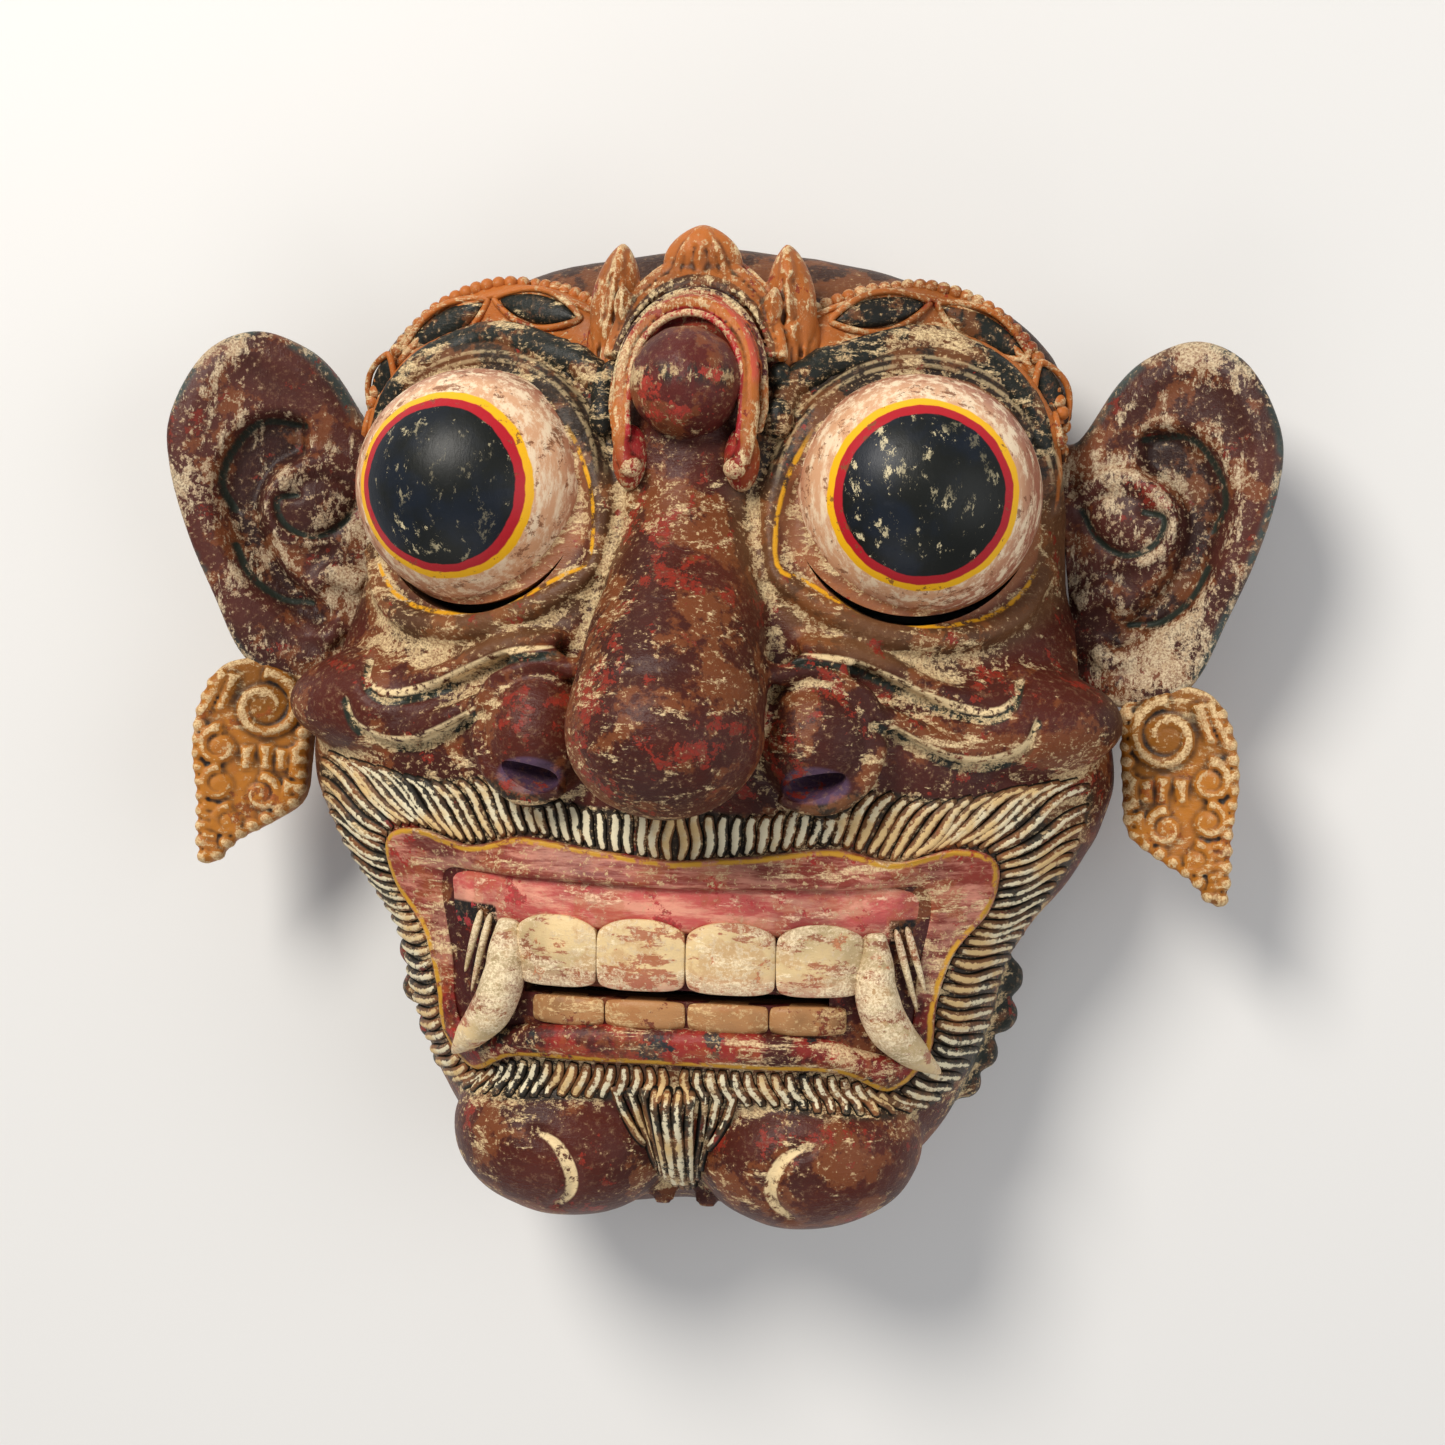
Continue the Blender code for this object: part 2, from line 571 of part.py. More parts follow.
def nostril_cutter(group):
    carving = Carving()
    for side in (-1, 1):
        carving.ball((side * 34.5 * ACROSS, -9.5 * UP, 90.5 * OUT), (7.6 * ACROSS, 3.2 * UP, 8 * OUT),
                     turn=side * radians(14), lean=radians(25), segments=12)
    return hidden("nostrils", carving.form, group)


def hollow_cutter(group):
    return hidden("hollow", head_mesh(WALL, rings=14, segments=36), group)


def nose_hollow_cutter(group):
    """Room for the wearer's nose, inside the carved one."""
    carving = Carving()
    half = NOSE_TIP_WIDTH / 2 - WALL
    top = NOSE_REACH - 2.2 * WALL
    carving.ball((0, 8 * UP, top - 34 * OUT), (half, 24 * UP, 34 * OUT), segments=16)
    return hidden("nose_hollow", carving.form, group)


def cut(item, cutter, name):
    change = item.modifiers.new(name, "BOOLEAN")
    change.operation = "DIFFERENCE"
    change.object = cutter


def carve_smooth(item, grain, triangles):
    """One solid from the heap: a fine even skin, smoothed, then thinned to a number of triangles."""
    skin = item.modifiers.new("one skin", "REMESH")
    skin.mode = "VOXEL"
    skin.voxel_size = grain
    soften = item.modifiers.new("knife marks off", "SMOOTH")
    soften.factor = 0.5
    soften.iterations = 2
    graph = bpy.context.evaluated_depsgraph_get()
    graph.update()
    fine = item.evaluated_get(graph).to_mesh()
    fine.calc_loop_triangles()
    ratio = triangles / len(fine.loop_triangles)
    thin = item.modifiers.new("thinned", "DECIMATE")
    thin.ratio = ratio


def paint(item, name):
    material = bpy.data.materials.new(name)
    material.use_nodes = True
    shader = material.node_tree.nodes["Principled BSDF"]
    shader.inputs["Base Color"].default_value = COLOURS[name]
    shader.inputs["Roughness"].default_value = 0.55
    item.data.materials.clear()
    item.data.materials.append(material)


def make_face(parts, cutters):
    carving = Carving()
    carving.add(head_mesh(0.0))
    for carve in (carve_eyes, carve_nose, carve_cheeks, carve_brow, carve_crown, carve_mouth, carve_hair,
                  carve_chin):
        carve(carving)
    face = carving.object("mask_face", parts)
    carve_smooth(face, FACE_GRAIN, FACE_TRIANGLES)
    cut(face, hollow_cutter(cutters), "hollow")
    cut(face, nose_hollow_cutter(cutters), "nose hollow")
    cut(face, floor_cutter(cutters), "flat rim")
    cut(face, seat_cutter(cutters, "ear_seats", 0.0, 0.0), "ear seats")
    cut(face, slit_cutter(cutters), "see slits")
    cut(face, mouth_cutter(cutters), "mouth slit")
    cut(face, nostril_cutter(cutters), "nostrils")
    paint(face, "face")
    return face


def main():
    clear_scene()
    parts = collection("rakshasa_mask")
    cutters = collection("cutters")
    make_face(parts, cutters)
    clearance = side_clearance(cutters)
    make_ear("left_ear", -1, clearance, parts, cutters)
    make_ear("right_ear", 1, clearance, parts, cutters)


main()
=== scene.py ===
from math import cos, pi, radians, sin

import bmesh
import bpy
import numpy as np
from mathutils import Matrix, Vector
from mathutils.bvhtree import BVHTree


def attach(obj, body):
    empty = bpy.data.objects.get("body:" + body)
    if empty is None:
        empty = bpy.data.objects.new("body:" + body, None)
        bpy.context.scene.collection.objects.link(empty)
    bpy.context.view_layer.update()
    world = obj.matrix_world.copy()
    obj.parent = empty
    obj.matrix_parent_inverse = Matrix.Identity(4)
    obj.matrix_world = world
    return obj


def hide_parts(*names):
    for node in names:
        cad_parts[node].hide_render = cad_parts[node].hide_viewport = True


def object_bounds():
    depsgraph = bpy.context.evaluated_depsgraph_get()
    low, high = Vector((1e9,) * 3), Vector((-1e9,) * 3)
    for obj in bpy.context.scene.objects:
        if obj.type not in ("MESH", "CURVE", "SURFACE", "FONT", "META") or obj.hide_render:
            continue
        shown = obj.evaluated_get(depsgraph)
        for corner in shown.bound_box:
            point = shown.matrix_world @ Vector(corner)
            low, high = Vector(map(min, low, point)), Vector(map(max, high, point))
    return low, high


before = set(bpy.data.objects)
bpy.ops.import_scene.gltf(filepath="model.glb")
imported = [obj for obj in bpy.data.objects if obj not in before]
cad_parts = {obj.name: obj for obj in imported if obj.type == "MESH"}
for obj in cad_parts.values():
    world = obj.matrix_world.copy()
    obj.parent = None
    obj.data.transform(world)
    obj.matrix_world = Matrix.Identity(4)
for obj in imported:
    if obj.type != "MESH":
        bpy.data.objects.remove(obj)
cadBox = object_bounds()
rng = np.random.default_rng(7)

# One part of the carver's layout is a millimetre of the face
part = 0.001

# The plain head: half outline from crown to chin, and the depth down the middle
head = {
    "outline": ((0, 125), (30, 121.5), (52, 116), (67, 108.5), (80, 98), (88, 85), (92, 70), (91, 50),
                (92, 38), (96, 25), (102, 10), (105.5, -6), (104, -18), (97, -33), (87, -46), (80, -57),
                (77, -70), (72, -85), (66, -98), (57, -110), (45, -120), (28, -126), (0, -124)),
    "middle": ((-130, 84), (-105, 87), (-80, 88), (-45, 84), (-20, 82), (0, 84), (30, 83), (60, 82),
               (80, 83), (95, 77), (110, 66), (130, 58)),
    "roundness": 2.1, "belly": 30, "floorLevel": 0.42, "drawIn": 4, "wall": 11,
}
eye = {"x": 55.0, "y": 60.5, "wide": 30.4, "radius": 29.25, "reach": 94.0}
nose = {"reach": 125.0, "half": 23.5}


def smoothLine(points, count, closed=False):
    given = np.array(points, dtype=float)
    if closed:
        ends = (given[-1:], given, given[:2])
    else:
        ends = (2 * given[:1] - given[1:2], given, 2 * given[-1:] - given[-2:-1])
    guide = np.vstack(ends)
    dense = []
    for index in range(1, len(guide) - 2):
        before, start, end, after = guide[index - 1:index + 3]
        for share in np.linspace(0, 1, 12, endpoint=False):
            bend = (2 * before - 5 * start + 4 * end - after) * share ** 2
            twist = (3 * start - before - 3 * end + after) * share ** 3
            dense.append(start + 0.5 * ((end - before) * share + bend + twist))
    dense.append(guide[-2])
    dense = np.array(dense)
    steps = np.linalg.norm(np.diff(dense, axis=0), axis=1)
    length = np.concatenate(([0], np.cumsum(steps)))
    places = np.linspace(0, length[-1], count)
    return np.column_stack([np.interp(places, length, dense[:, axis]) for axis in range(dense.shape[1])])


# The same line read by its given points: 0 at the first of them, 1 at the second
def byStations(points, stations):
    dense = smoothLine(points, 1200)
    knots = [np.argmin(np.hypot(*(dense - point).T)) for point in np.array(points)]
    where = np.interp(stations, np.arange(len(points)), knots)
    return np.column_stack([np.interp(where, np.arange(len(dense)), dense[:, axis]) for axis in (0, 1)])


rightSide = smoothLine(head["outline"], 160)
sideAngles = np.arctan2(rightSide[::-1, 0], rightSide[::-1, 1])[::-1]
sideRadii = np.hypot(rightSide[:, 0], rightSide[:, 1])


def outlineRadius(x, y):
    return np.interp(np.arctan2(np.abs(x), y), sideAngles, sideRadii)


def middleDepth(y):
    heights, depths = zip(*head["middle"])
    return np.interp(y, heights, depths)


def skinHeight(x, y):
    share = np.minimum(np.hypot(x, y) / outlineRadius(x, y), 0.995)
    power = head["roundness"]
    return head["belly"] + (middleDepth(y) - head["belly"]) * (1 - share ** power) ** (1 / power)


def spot(x, y, lift=0.0):
    return Vector((x, y, float(skinHeight(x, y)) + lift))


def headForm(inset, rings, segments):
    form = bmesh.new()
    bmesh.ops.create_uvsphere(form, u_segments=segments, v_segments=rings, radius=1)
    power = 2 / head["roundness"]
    for vertex in form.verts:
        x, y, z = vertex.co
        reach = float(np.hypot(x, y))
        angleX, angleY = (x / reach, y / reach) if reach > 1e-6 else (0.0, 1.0)
        radius = float(outlineRadius(angleX, angleY)) - inset
        if z >= 0:
            edge = radius * reach ** power
            front = float(middleDepth((radius + inset) * reach ** power * angleY)) - inset - head["belly"]
            vertex.co = (edge * angleX, edge * angleY, head["belly"] + front * z ** power)
        else:
            edge = (radius - head["drawIn"] * min(-z / head["floorLevel"], 1) ** 2) * min(1.0, reach / 0.6)
            vertex.co = (edge * angleX, edge * angleY, head["belly"] * (1 + z / head["floorLevel"]))
    return form


# A heap of overlapping closed forms, in parts, that becomes one piece
class Carving:
    def __init__(self):
        self.form = bmesh.new()

    def add(self, form, matrix=Matrix.Identity(4)):
        bmesh.ops.transform(form, matrix=matrix, verts=form.verts)
        mesh = bpy.data.meshes.new("form")
        form.to_mesh(mesh)
        form.free()
        self.form.from_mesh(mesh)
        bpy.data.meshes.remove(mesh)

    def ball(self, centre, radii, turn=0.0, lean=0.0, segments=32):
        form = bmesh.new()
        bmesh.ops.create_uvsphere(form, u_segments=segments, v_segments=segments * 2 // 3, radius=1)
        place = Matrix.Translation(centre) @ Matrix.Rotation(turn, 4, "Z") @ Matrix.Rotation(lean, 4, "X")
        self.add(form, place @ Matrix.Diagonal((*radii, 1)))

    def block(self, centre, size, rounding):
        form = bmesh.new()
        bmesh.ops.create_cube(form, size=1)
        bmesh.ops.scale(form, vec=size, verts=form.verts)
        bmesh.ops.bevel(form, geom=form.edges, offset=rounding, segments=4, affect="EDGES", profile=0.5)
        self.add(form, Matrix.Translation(centre))

    def ropes(self, lines, sides=3):
        self.curve(lines, dimensions="3D", bevel_depth=1, bevel_resolution=sides, use_fill_caps=True)

    def plate(self, outline, low, high, bevel):
        line = ([(x, y, 0) for x, y in outline], [1] * len(outline))
        self.curve([line], (high + low) / 2, True, dimensions="2D", fill_mode="BOTH", bevel_depth=bevel,
                   extrude=(high - low) / 2 - bevel, offset=-bevel)

    def curve(self, lines, lift=0.0, closed=False, **settings):
        curve = bpy.data.curves.new("lines", "CURVE")
        for name, value in settings.items():
            setattr(curve, name, value)
        for points, radii in lines:
            spline = curve.splines.new("POLY")
            spline.points.add(len(points) - 1)
            for knot, point, radius in zip(spline.points, points, radii):
                knot.co = (*point, 1)
                knot.radius = radius
            spline.use_cyclic_u = closed
        item = bpy.data.objects.new("lines", curve)
        bpy.context.scene.collection.objects.link(item)
        mesh = meshOf(item)
        form = bmesh.new()
        form.from_mesh(mesh)
        bmesh.ops.remove_doubles(form, verts=form.verts, dist=1e-4)
        bmesh.ops.recalc_face_normals(form, faces=form.faces)
        bpy.data.objects.remove(item)
        bpy.data.meshes.remove(mesh)
        bpy.data.curves.remove(curve)
        self.add(form, Matrix.Translation((0, 0, lift)))

    def piece(self, name):
        return pieceFrom(name, self.form)


def meshOf(item):
    graph = bpy.context.evaluated_depsgraph_get()
    graph.update()
    return bpy.data.meshes.new_from_object(item.evaluated_get(graph))


def smooth(mesh):
    mesh.polygons.foreach_set("use_smooth", [True] * len(mesh.polygons))


def pieceFrom(name, form):
    bmesh.ops.scale(form, vec=(part,) * 3, verts=form.verts)
    mesh = bpy.data.meshes.new(name)
    form.to_mesh(mesh)
    form.free()
    item = bpy.data.objects.new(name, mesh)
    bpy.context.scene.collection.objects.link(item)
    smooth(mesh)
    return item


def change(item, kind, **settings):
    step = item.modifiers.new(kind.lower(), kind)
    for name, value in settings.items():
        setattr(step, name, value)


def bake(item):
    mesh = meshOf(item)
    item.modifiers.clear()
    old = item.data
    item.data = mesh
    bpy.data.meshes.remove(old)
    item.data.name = item.name
    smooth(mesh)
    return item


def oneSkin(item, grain, softening):
    change(item, "REMESH", mode="VOXEL", voxel_size=grain * part)
    change(item, "SMOOTH", factor=0.5, iterations=softening)
    return bake(item)


def finer(item):
    change(item, "SUBSURF", levels=1, render_levels=1)
    return bake(item)


def cut(item, cutter):
    change(item, "BOOLEAN", operation="DIFFERENCE", solver="MANIFOLD", object=cutter)
    bake(item)
    bpy.data.objects.remove(cutter)


def places(item):
    values = np.empty(len(item.data.vertices) * 3)
    item.data.vertices.foreach_get("co", values)
    return values.reshape(-1, 3)


def inParts(item):
    return places(item) / part


def normals(item):
    values = np.empty(len(item.data.vertices) * 3)
    item.data.vertex_normals.foreach_get("vector", values)
    return values.reshape(-1, 3)


def movePlaces(item, values):
    item.data.vertices.foreach_set("co", values.ravel())
    item.data.update()


def pushOut(item, parts):
    movePlaces(item, places(item) + normals(item) * (parts * part)[:, None])


def keep(item, **layers):
    for name, values in layers.items():
        layer = item.data.attributes.new(name, "FLOAT", "POINT")
        layer.data.foreach_set("value", np.asarray(values, dtype=np.float32))


def neighbourMean(item, values):
    pairs = np.empty(len(item.data.edges) * 2, dtype=int)
    item.data.edges.foreach_get("vertices", pairs)
    first, second = pairs.reshape(-1, 2).T
    size = len(values)
    total = [np.bincount(first, column[second], size) + np.bincount(second, column[first], size)
             for column in values.T]
    return np.column_stack(total) / np.bincount(pairs, minlength=size).clip(1)[:, None]


# How far each place stands out of its smoothed surroundings: ridges are over 0, hollows under
def keepCrest(item, passes, scale):
    here = places(item)
    mean = here
    for step in range(passes):
        mean = neighbourMean(item, mean)
    out = ((here - mean) * normals(item)).sum(axis=1) / (scale * part)
    keep(item, crest=np.clip(out, -1, 1))


# Distance in parts from places to a line, and how far inside an outline they are
def lineDistance(x, y, line):
    best = np.full(len(x), 1e9)
    for (x1, y1), (x2, y2) in zip(line[:-1], line[1:]):
        run = (x2 - x1, y2 - y1)
        share = ((x - x1) * run[0] + (y - y1) * run[1]) / max(run[0] ** 2 + run[1] ** 2, 1e-9)
        share = np.clip(share, 0, 1)
        best = np.minimum(best, np.hypot(x - x1 - share * run[0], y - y1 - share * run[1]))
    return best


def insideBy(x, y, outline):
    closed = np.vstack((outline, outline[:1]))
    inside = np.zeros(len(x), dtype=bool)
    for (x1, y1), (x2, y2) in zip(closed[:-1], closed[1:]):
        if y1 != y2:
            crosses = (y1 > y) != (y2 > y)
            inside ^= crosses & (x < (x2 - x1) * (y - y1) / (y2 - y1) + x1)
    distance = lineDistance(x, y, closed)
    return np.where(inside, distance, -distance)


def roll(points, thickness, lift=0.0, count=22, side=1):
    line = smoothLine(points, count)
    swell = np.sin(np.linspace(0.1, 0.9, count) * pi) ** 0.4
    return [spot(side * x, y, lift) for x, y in line], list(thickness / 2 * swell)


def spiral(centre, outer, inner, turns, thickness, start, side):
    shares = np.linspace(0, 1, 40)
    radii = outer + (inner - outer) * shares
    angles = start + side * turns * 2 * pi * shares
    points = [centre + Vector((cos(angle) * radius, sin(angle) * radius, 0))
              for angle, radius in zip(angles, radii)]
    return points, list(thickness / 2 * (1 - 0.4 * shares))


# A line through the points with as many places as count, and the radius at each
def spread(points, radii, count):
    return smoothLine(points, count), list(np.interp(np.linspace(0, 1, count), np.linspace(0, 1, len(radii)),
                                                     radii))


def at(side, point):
    return Vector((side * point[0], *point[1:]))


print("stage: forms ready")

# Lines that several pieces share, on the right side; the left is its mirror image
lines = {
    "stripe": ((22, 77), (23, 86), (36, 94), (54, 99.5), (68, 96.5), (79.5, 88.5), (88, 72), (88.5, 57)),
    "band": ((27, 100), (41, 105.5), (56, 107), (70, 102.5), (81, 93.5), (88.5, 80)),
    "beads": ((27, 107), (40, 112.3), (55, 113.5), (69, 109), (80.5, 99), (88, 86), (91, 74)),
    "upperLid": ((21, 41), (21, 56), (27, 73), (38, 87), (54, 93.5), (71, 91), (83, 79), (87, 62)),
    "lowerLid": ((21, 41), (28, 36), (38.6, 30.5), (50.7, 26.5), (62, 25.5), (73, 27.5), (82, 34), (88, 45)),
    "socket": ((23.5, 43), (23.5, 57), (29, 72), (39, 84), (54, 90), (69.5, 87.5), (80.5, 77), (84.5, 62),
               (84.5, 46), (79, 36), (71, 31.3), (61.5, 29.4), (50.7, 30.3), (39.5, 34), (29.5, 39.5)),
    "wrinkleUp": ((81.5, 20), (80, 13.5), (74, 10.5), (62, 13), (52, 17.5), (41, 22), (29, 23.5)),
    "wrinkleLow": ((86, 10), (83.5, 3), (76, -0.8), (67, -0.8), (58, 3), (48, 9)),
    "hairOut": ((0, -17), (22, -18), (44, -11.5), (65, -13.5), (86, -10.5), (99, -10), (98, -24),
                (89.5, -40), (80.5, -55), (77, -68), (72, -82), (62, -92.5), (44, -92.5), (24, -91),
                (1.6, -91)),
    "hairIn": ((0, -30), (20, -27.5), (38, -25), (53, -28.5), (66, -25), (75, -26.5), (78, -32), (74, -43),
               (67, -53), (63.5, -65), (62, -77), (53, -87.5), (40, -82.5), (20, -81.5), (1.3, -81.5)),
    "lipOut": ((0, -29.6), (20, -27.6), (38.5, -25.6), (53, -28.6), (68, -25.2), (77.5, -29), (76, -41),
               (67.5, -52), (63.5, -65), (62, -78), (53, -87), (41, -81.5), (20, -80.8), (0, -80.8)),
    "lipIn": ((0, -36.4), (20, -36), (38, -35.6), (52, -35.4), (59, -35.6), (61, -40), (59.5, -50),
              (58, -60), (57.5, -70), (54, -77), (46, -75.5), (38, -72.6), (20, -71), (0, -71)),
    "comma": ((34, -99), (28.5, -102), (25.2, -108), (25.4, -114), (29.5, -119.5)),
}


def mirrored(name, count):
    line = smoothLine(lines[name], count)
    other = line[::-1] * (-1, 1)
    return np.vstack((other[:-1], line))


# The face's skin: every soft form of the carving in one piece
def noseForms(carving):
    reach = nose["reach"]
    half = nose["half"]
    bridge = ((74, 0.42, 0.345), (58, 0.56, 0.32), (44, 0.72, 0.265), (30, 0.86, 0.19), (16, 0.96, 0.09),
              (5, 0.99, 0.015))
    points = smoothLine([(y, half * width, reach - drop * reach - half * width) for y, width, drop in bridge],
                        40)
    carving.ropes([([(0, y, z) for y, radius, z in points], [radius for y, radius, z in points])], sides=10)
    carving.ball((0, 2.5, reach - half), (half, 20.5, half), segments=48)
    carving.ball((0, 62, 66), (22, 34, 17))
    for side in (-1, 1):
        carving.ball((side * 34, 0.5, 79), (14.5, 16, 15), segments=40)
        flare = smoothLine(((24, 16), (33, 19), (43, 14), (48.5, 3), (45, -9), (36, -14.5), (26, -12)), 26)
        heights = np.interp(np.linspace(0, 1, 26), (0, 0.5, 1), (88, 83, 90))
        carving.ropes([([(side * x, y, z) for (x, y), z in zip(flare, heights)], [3.0] * 26)])


def browAndCheekForms(carving):
    for side in (-1, 1):
        centre = (side * eye["x"], eye["y"], eye["reach"] - eye["radius"])
        carving.ball(centre, (eye["wide"] - 0.6, eye["radius"] - 0.6, eye["radius"] - 0.6), segments=48)
        carving.ropes([roll(lines["upperLid"], 8.0, 0.3, 34, side),
                       roll(lines["lowerLid"], 6.5, 1.2, 34, side),
                       roll(lines["stripe"], 7.0, 0.6, 34, side), roll(lines["band"], 15.0, -2.8, 34, side),
                       roll(lines["wrinkleUp"], 6.0, 2.6, 30, side),
                       roll(lines["wrinkleLow"], 6.0, 3.2, 30, side)])
        carving.ball(spot(side * 66, 5, -23), (41, 17, 27), segments=48)
        carving.ball(spot(side * 86, 2, -17), (15, 14, 18))


def chinForms(carving):
    for side in (-1, 1):
        carving.ball((side * 31.5, -104, 51), (29, 21, 27), turn=side * radians(6), segments=48)
        for x, y, size in ((79, -63, 5.5), (78, -73, 5), (74, -83, 4.6), (70, -91.5, 4.2)):
            carving.ball(spot(side * x, y, -13), (size, size, 6), segments=20)
        carving.ropes([spiral(spot(side * 5, -119, 3), 3.6, 1.2, 0.9, 3.4, pi / 2, -side)])
    carving.ropes([([spot(0, -88, 1), spot(0, -100, 1), spot(0, -112, 2.5)], [6.5, 5.2, 4.0])])


def crownForms(carving):
    carving.ball((0, 98, 53), (19.5, 21, 19.5))
    carving.ball((0, 80, 68), (15, 20, 16))


# The outline of a brush stroke that tapers at both ends
def stroke(points, half):
    line = smoothLine(points, 30)
    along = np.gradient(line, axis=0)
    across = along[:, ::-1] * (1, -1) / np.linalg.norm(along, axis=1)[:, None]
    width = half * np.sin(np.linspace(0, pi, 30))[:, None] ** 0.6
    return np.vstack((line + across * width, (line - across * width)[::-1]))


# Grooves cut along lines: each is the distance across and the depth
def groove(distance, half, depth):
    return -depth * np.exp(-(distance / half) ** 2)


def carveSkin(item):
    x, y, z = inParts(item).T
    right = np.abs(x)
    crease = ((15.5, 62), (19, 44), (24, 26), (27, 19))
    push = np.zeros(len(x))
    for line, half, depth in ((smoothLine(lines["wrinkleUp"], 40) - (0, 4.2), 1.2, 1.5),
                              (smoothLine(lines["wrinkleLow"], 40) - (0, 4.2), 1.2, 1.5),
                              (smoothLine(lines["comma"], 24), 1.6, 1.5), (smoothLine(crease, 20), 1.6, 0.9)):
        push += groove(lineDistance(right, y, line), half, depth)
    ring = np.hypot((right - eye["x"]) / 1.03, y - eye["y"])
    for radius in (30.9, 33.0, 35.1):
        push += groove(ring - radius, 0.55, 0.5) * np.clip((y - 62) / 10, 0, 1)
    push *= np.clip((z - 25) / 20, 0, 1)
    push += 0.10 * (np.sin(x * 0.31 + np.sin(y * 0.23) * 2) + np.sin(y * 0.37 + x * 0.11))
    pushOut(item, push)


def keepPaintLines(item):
    place = inParts(item)
    x, y, z = place.T
    right = np.abs(x)
    hairEdge = np.vstack((mirrored("hairOut", 60), mirrored("hairIn", 60)[::-1]))
    brow = smoothLine(((0, 112),) + lines["beads"] + ((92, 62),), 60)
    band = np.vstack((smoothLine(lines["stripe"], 60)[8:], smoothLine(lines["beads"], 40)[::-1]))
    rim = outlineRadius(right, y) - np.hypot(right, y)
    room = np.linalg.norm((place - noseRoom["middle"]) / (np.array(noseRoom["half"]) + 1), axis=1)
    # side is the signed x; the face paint uses it to thin the pale specks on the right half as painted shade
    keep(item, ring=np.hypot((right - eye["x"]) / 1.03, y - eye["y"]), above=y, across=right, side=x, front=z,
         nostril=1 - np.hypot((right - 34.5) / 9.0, (y + 9.5) / 5.0),
         socket=insideBy(right, y, smoothLine(lines["socket"], 90, closed=True)),
         lip=insideBy(x, y, mirrored("lipOut", 60)), hair=insideBy(x, y, hairEdge),
         curls=np.where((y < -56) & (y > -96) & (right > 66), 40 - z, -9),
         skull=np.where(right < 92, y - np.interp(right, brow[:, 0], brow[:, 1]), -5),
         band=insideBy(right, y, band), comma=insideBy(right, y, stroke(lines["comma"], 1.6)),
         inside=np.maximum(np.minimum(skinHeight(right, y) - z - 3, rim - 3), 40 * (1 - room)))
    for name in ("wrinkleUp", "wrinkleLow"):
        dark = lineDistance(right, y, smoothLine(lines[name], 50) - (0, 4.1))
        pale = insideBy(right, y, stroke(np.array(lines[name]) - (0, 2.0), 1.1))
        keep(item, **{name + "Dark": dark, name + "Pale": pale})


noseRoom = {"middle": (0, 8, nose["reach"] - 2.2 * head["wall"] - 34),
            "half": (nose["half"] - head["wall"], 24, 34)}
seat = {"top": (88.5, 80), "foot": (96.0, 13), "thick": 30}
slit = {"from": 214, "to": 326, "gap": 0.3, "swell": 2.3}


# The hollow behind, or a smaller one that keeps details out of it
def hollowPiece(wall):
    hollow = Carving()
    hollow.add(headForm(wall, 28, 72))
    return hollow.piece("hollow")


# A block along an ear's seat: out from it where way is 1, in from it where way is -1
def seatBlock(carving, side, way, inset, long, deep, middle):
    top, foot = (Vector((side * (x - inset), y, 0)) for x, y in (seat["top"], seat["foot"]))
    along = top - foot
    turn = Matrix.Rotation(np.arctan2(-along.x, along.y), 4, "Z")
    place = Matrix.Translation((top + foot) / 2 + Vector((0, 0, middle))) @ turn
    place @= Matrix.Translation((way * side * seat["thick"] / 2, 0, 0))
    size = (seat["thick"], long or along.length, deep, 1)
    bmesh.ops.create_cube(carving.form, size=1, matrix=place @ Matrix.Diagonal(size))


def faceCutters():
    room, below, seats, slits, gap, nostrils = (Carving() for step in range(6))
    room.ball(noseRoom["middle"], noseRoom["half"])
    below.block((0, 0, -200), (900, 900, 400), 0.5)
    gap.block((0, -63.0, 70), (76, 2.8, 80), 0.4)
    shares = np.linspace(0, 1, 30)
    edge = [(share, slit["gap"]) for share in shares]
    edge += [(share, slit["gap"] + slit["swell"] * sin(share * pi)) for share in shares[-2:0:-1]]
    for side in (-1, 1):
        nostrils.ball((side * 34.5, -9.5, 90.5), (7.6, 3.2, 8), turn=side * radians(14), lean=radians(25))
        seatBlock(seats, side, 1, 0, 0, 42, 29)
        outline = []
        for share, out in edge:
            angle = radians(slit["from"] + (slit["to"] - slit["from"]) * share)
            outline.append((side * (eye["x"] + (eye["wide"] + out) * cos(angle)),
                            eye["y"] + (eye["radius"] + out) * sin(angle)))
        slits.plate(outline, 30, eye["reach"] + 20, 0.0)
    return [cutter.piece("cutter") for cutter in (room, below, seats, slits, gap, nostrils)]


def makeFaceSkin():
    carving = Carving()
    carving.add(headForm(0.0, 64, 160))
    for forms in (noseForms, browAndCheekForms, chinForms, crownForms):
        forms(carving)
    item = oneSkin(carving.piece("faceSkin"), 1.27, 8)
    carveSkin(item)
    for cutter in [hollowPiece(head["wall"])] + faceCutters():
        cut(item, cutter)
    low, high = np.array(cadBox[0]) + 0.0001, np.array(cadBox[1]) - 0.0001
    movePlaces(item, np.clip(places(item), low, high))
    keepPaintLines(item)
    keepCrest(item, 6, 0.7)
    item.data.set_sharp_from_angle(angle=radians(50))
    return item


skin = makeFaceSkin()
print("stage: face skin", len(skin.data.polygons))

# Lets a detail lie on the finished skin
skinTree = BVHTree.FromPolygons([Vector(row) for row in inParts(skin)],
                                [tuple(polygon.vertices) for polygon in skin.data.polygons])


def onSkin(x, y, lift=0.0):
    hit, normal, index, distance = skinTree.ray_cast(Vector((x, y, 200)), Vector((0, 0, -1)))
    if hit is None or hit.z < 12:
        hit, normal, index, distance = skinTree.find_nearest(Vector((x, y, 35)))
    return hit + normal * lift, normal


def lay(points, radii, lift=0.0, count=20, side=1):
    line, sizes = spread(points, radii, count)
    return [onSkin(side * x, y, lift)[0] for x, y in line], sizes


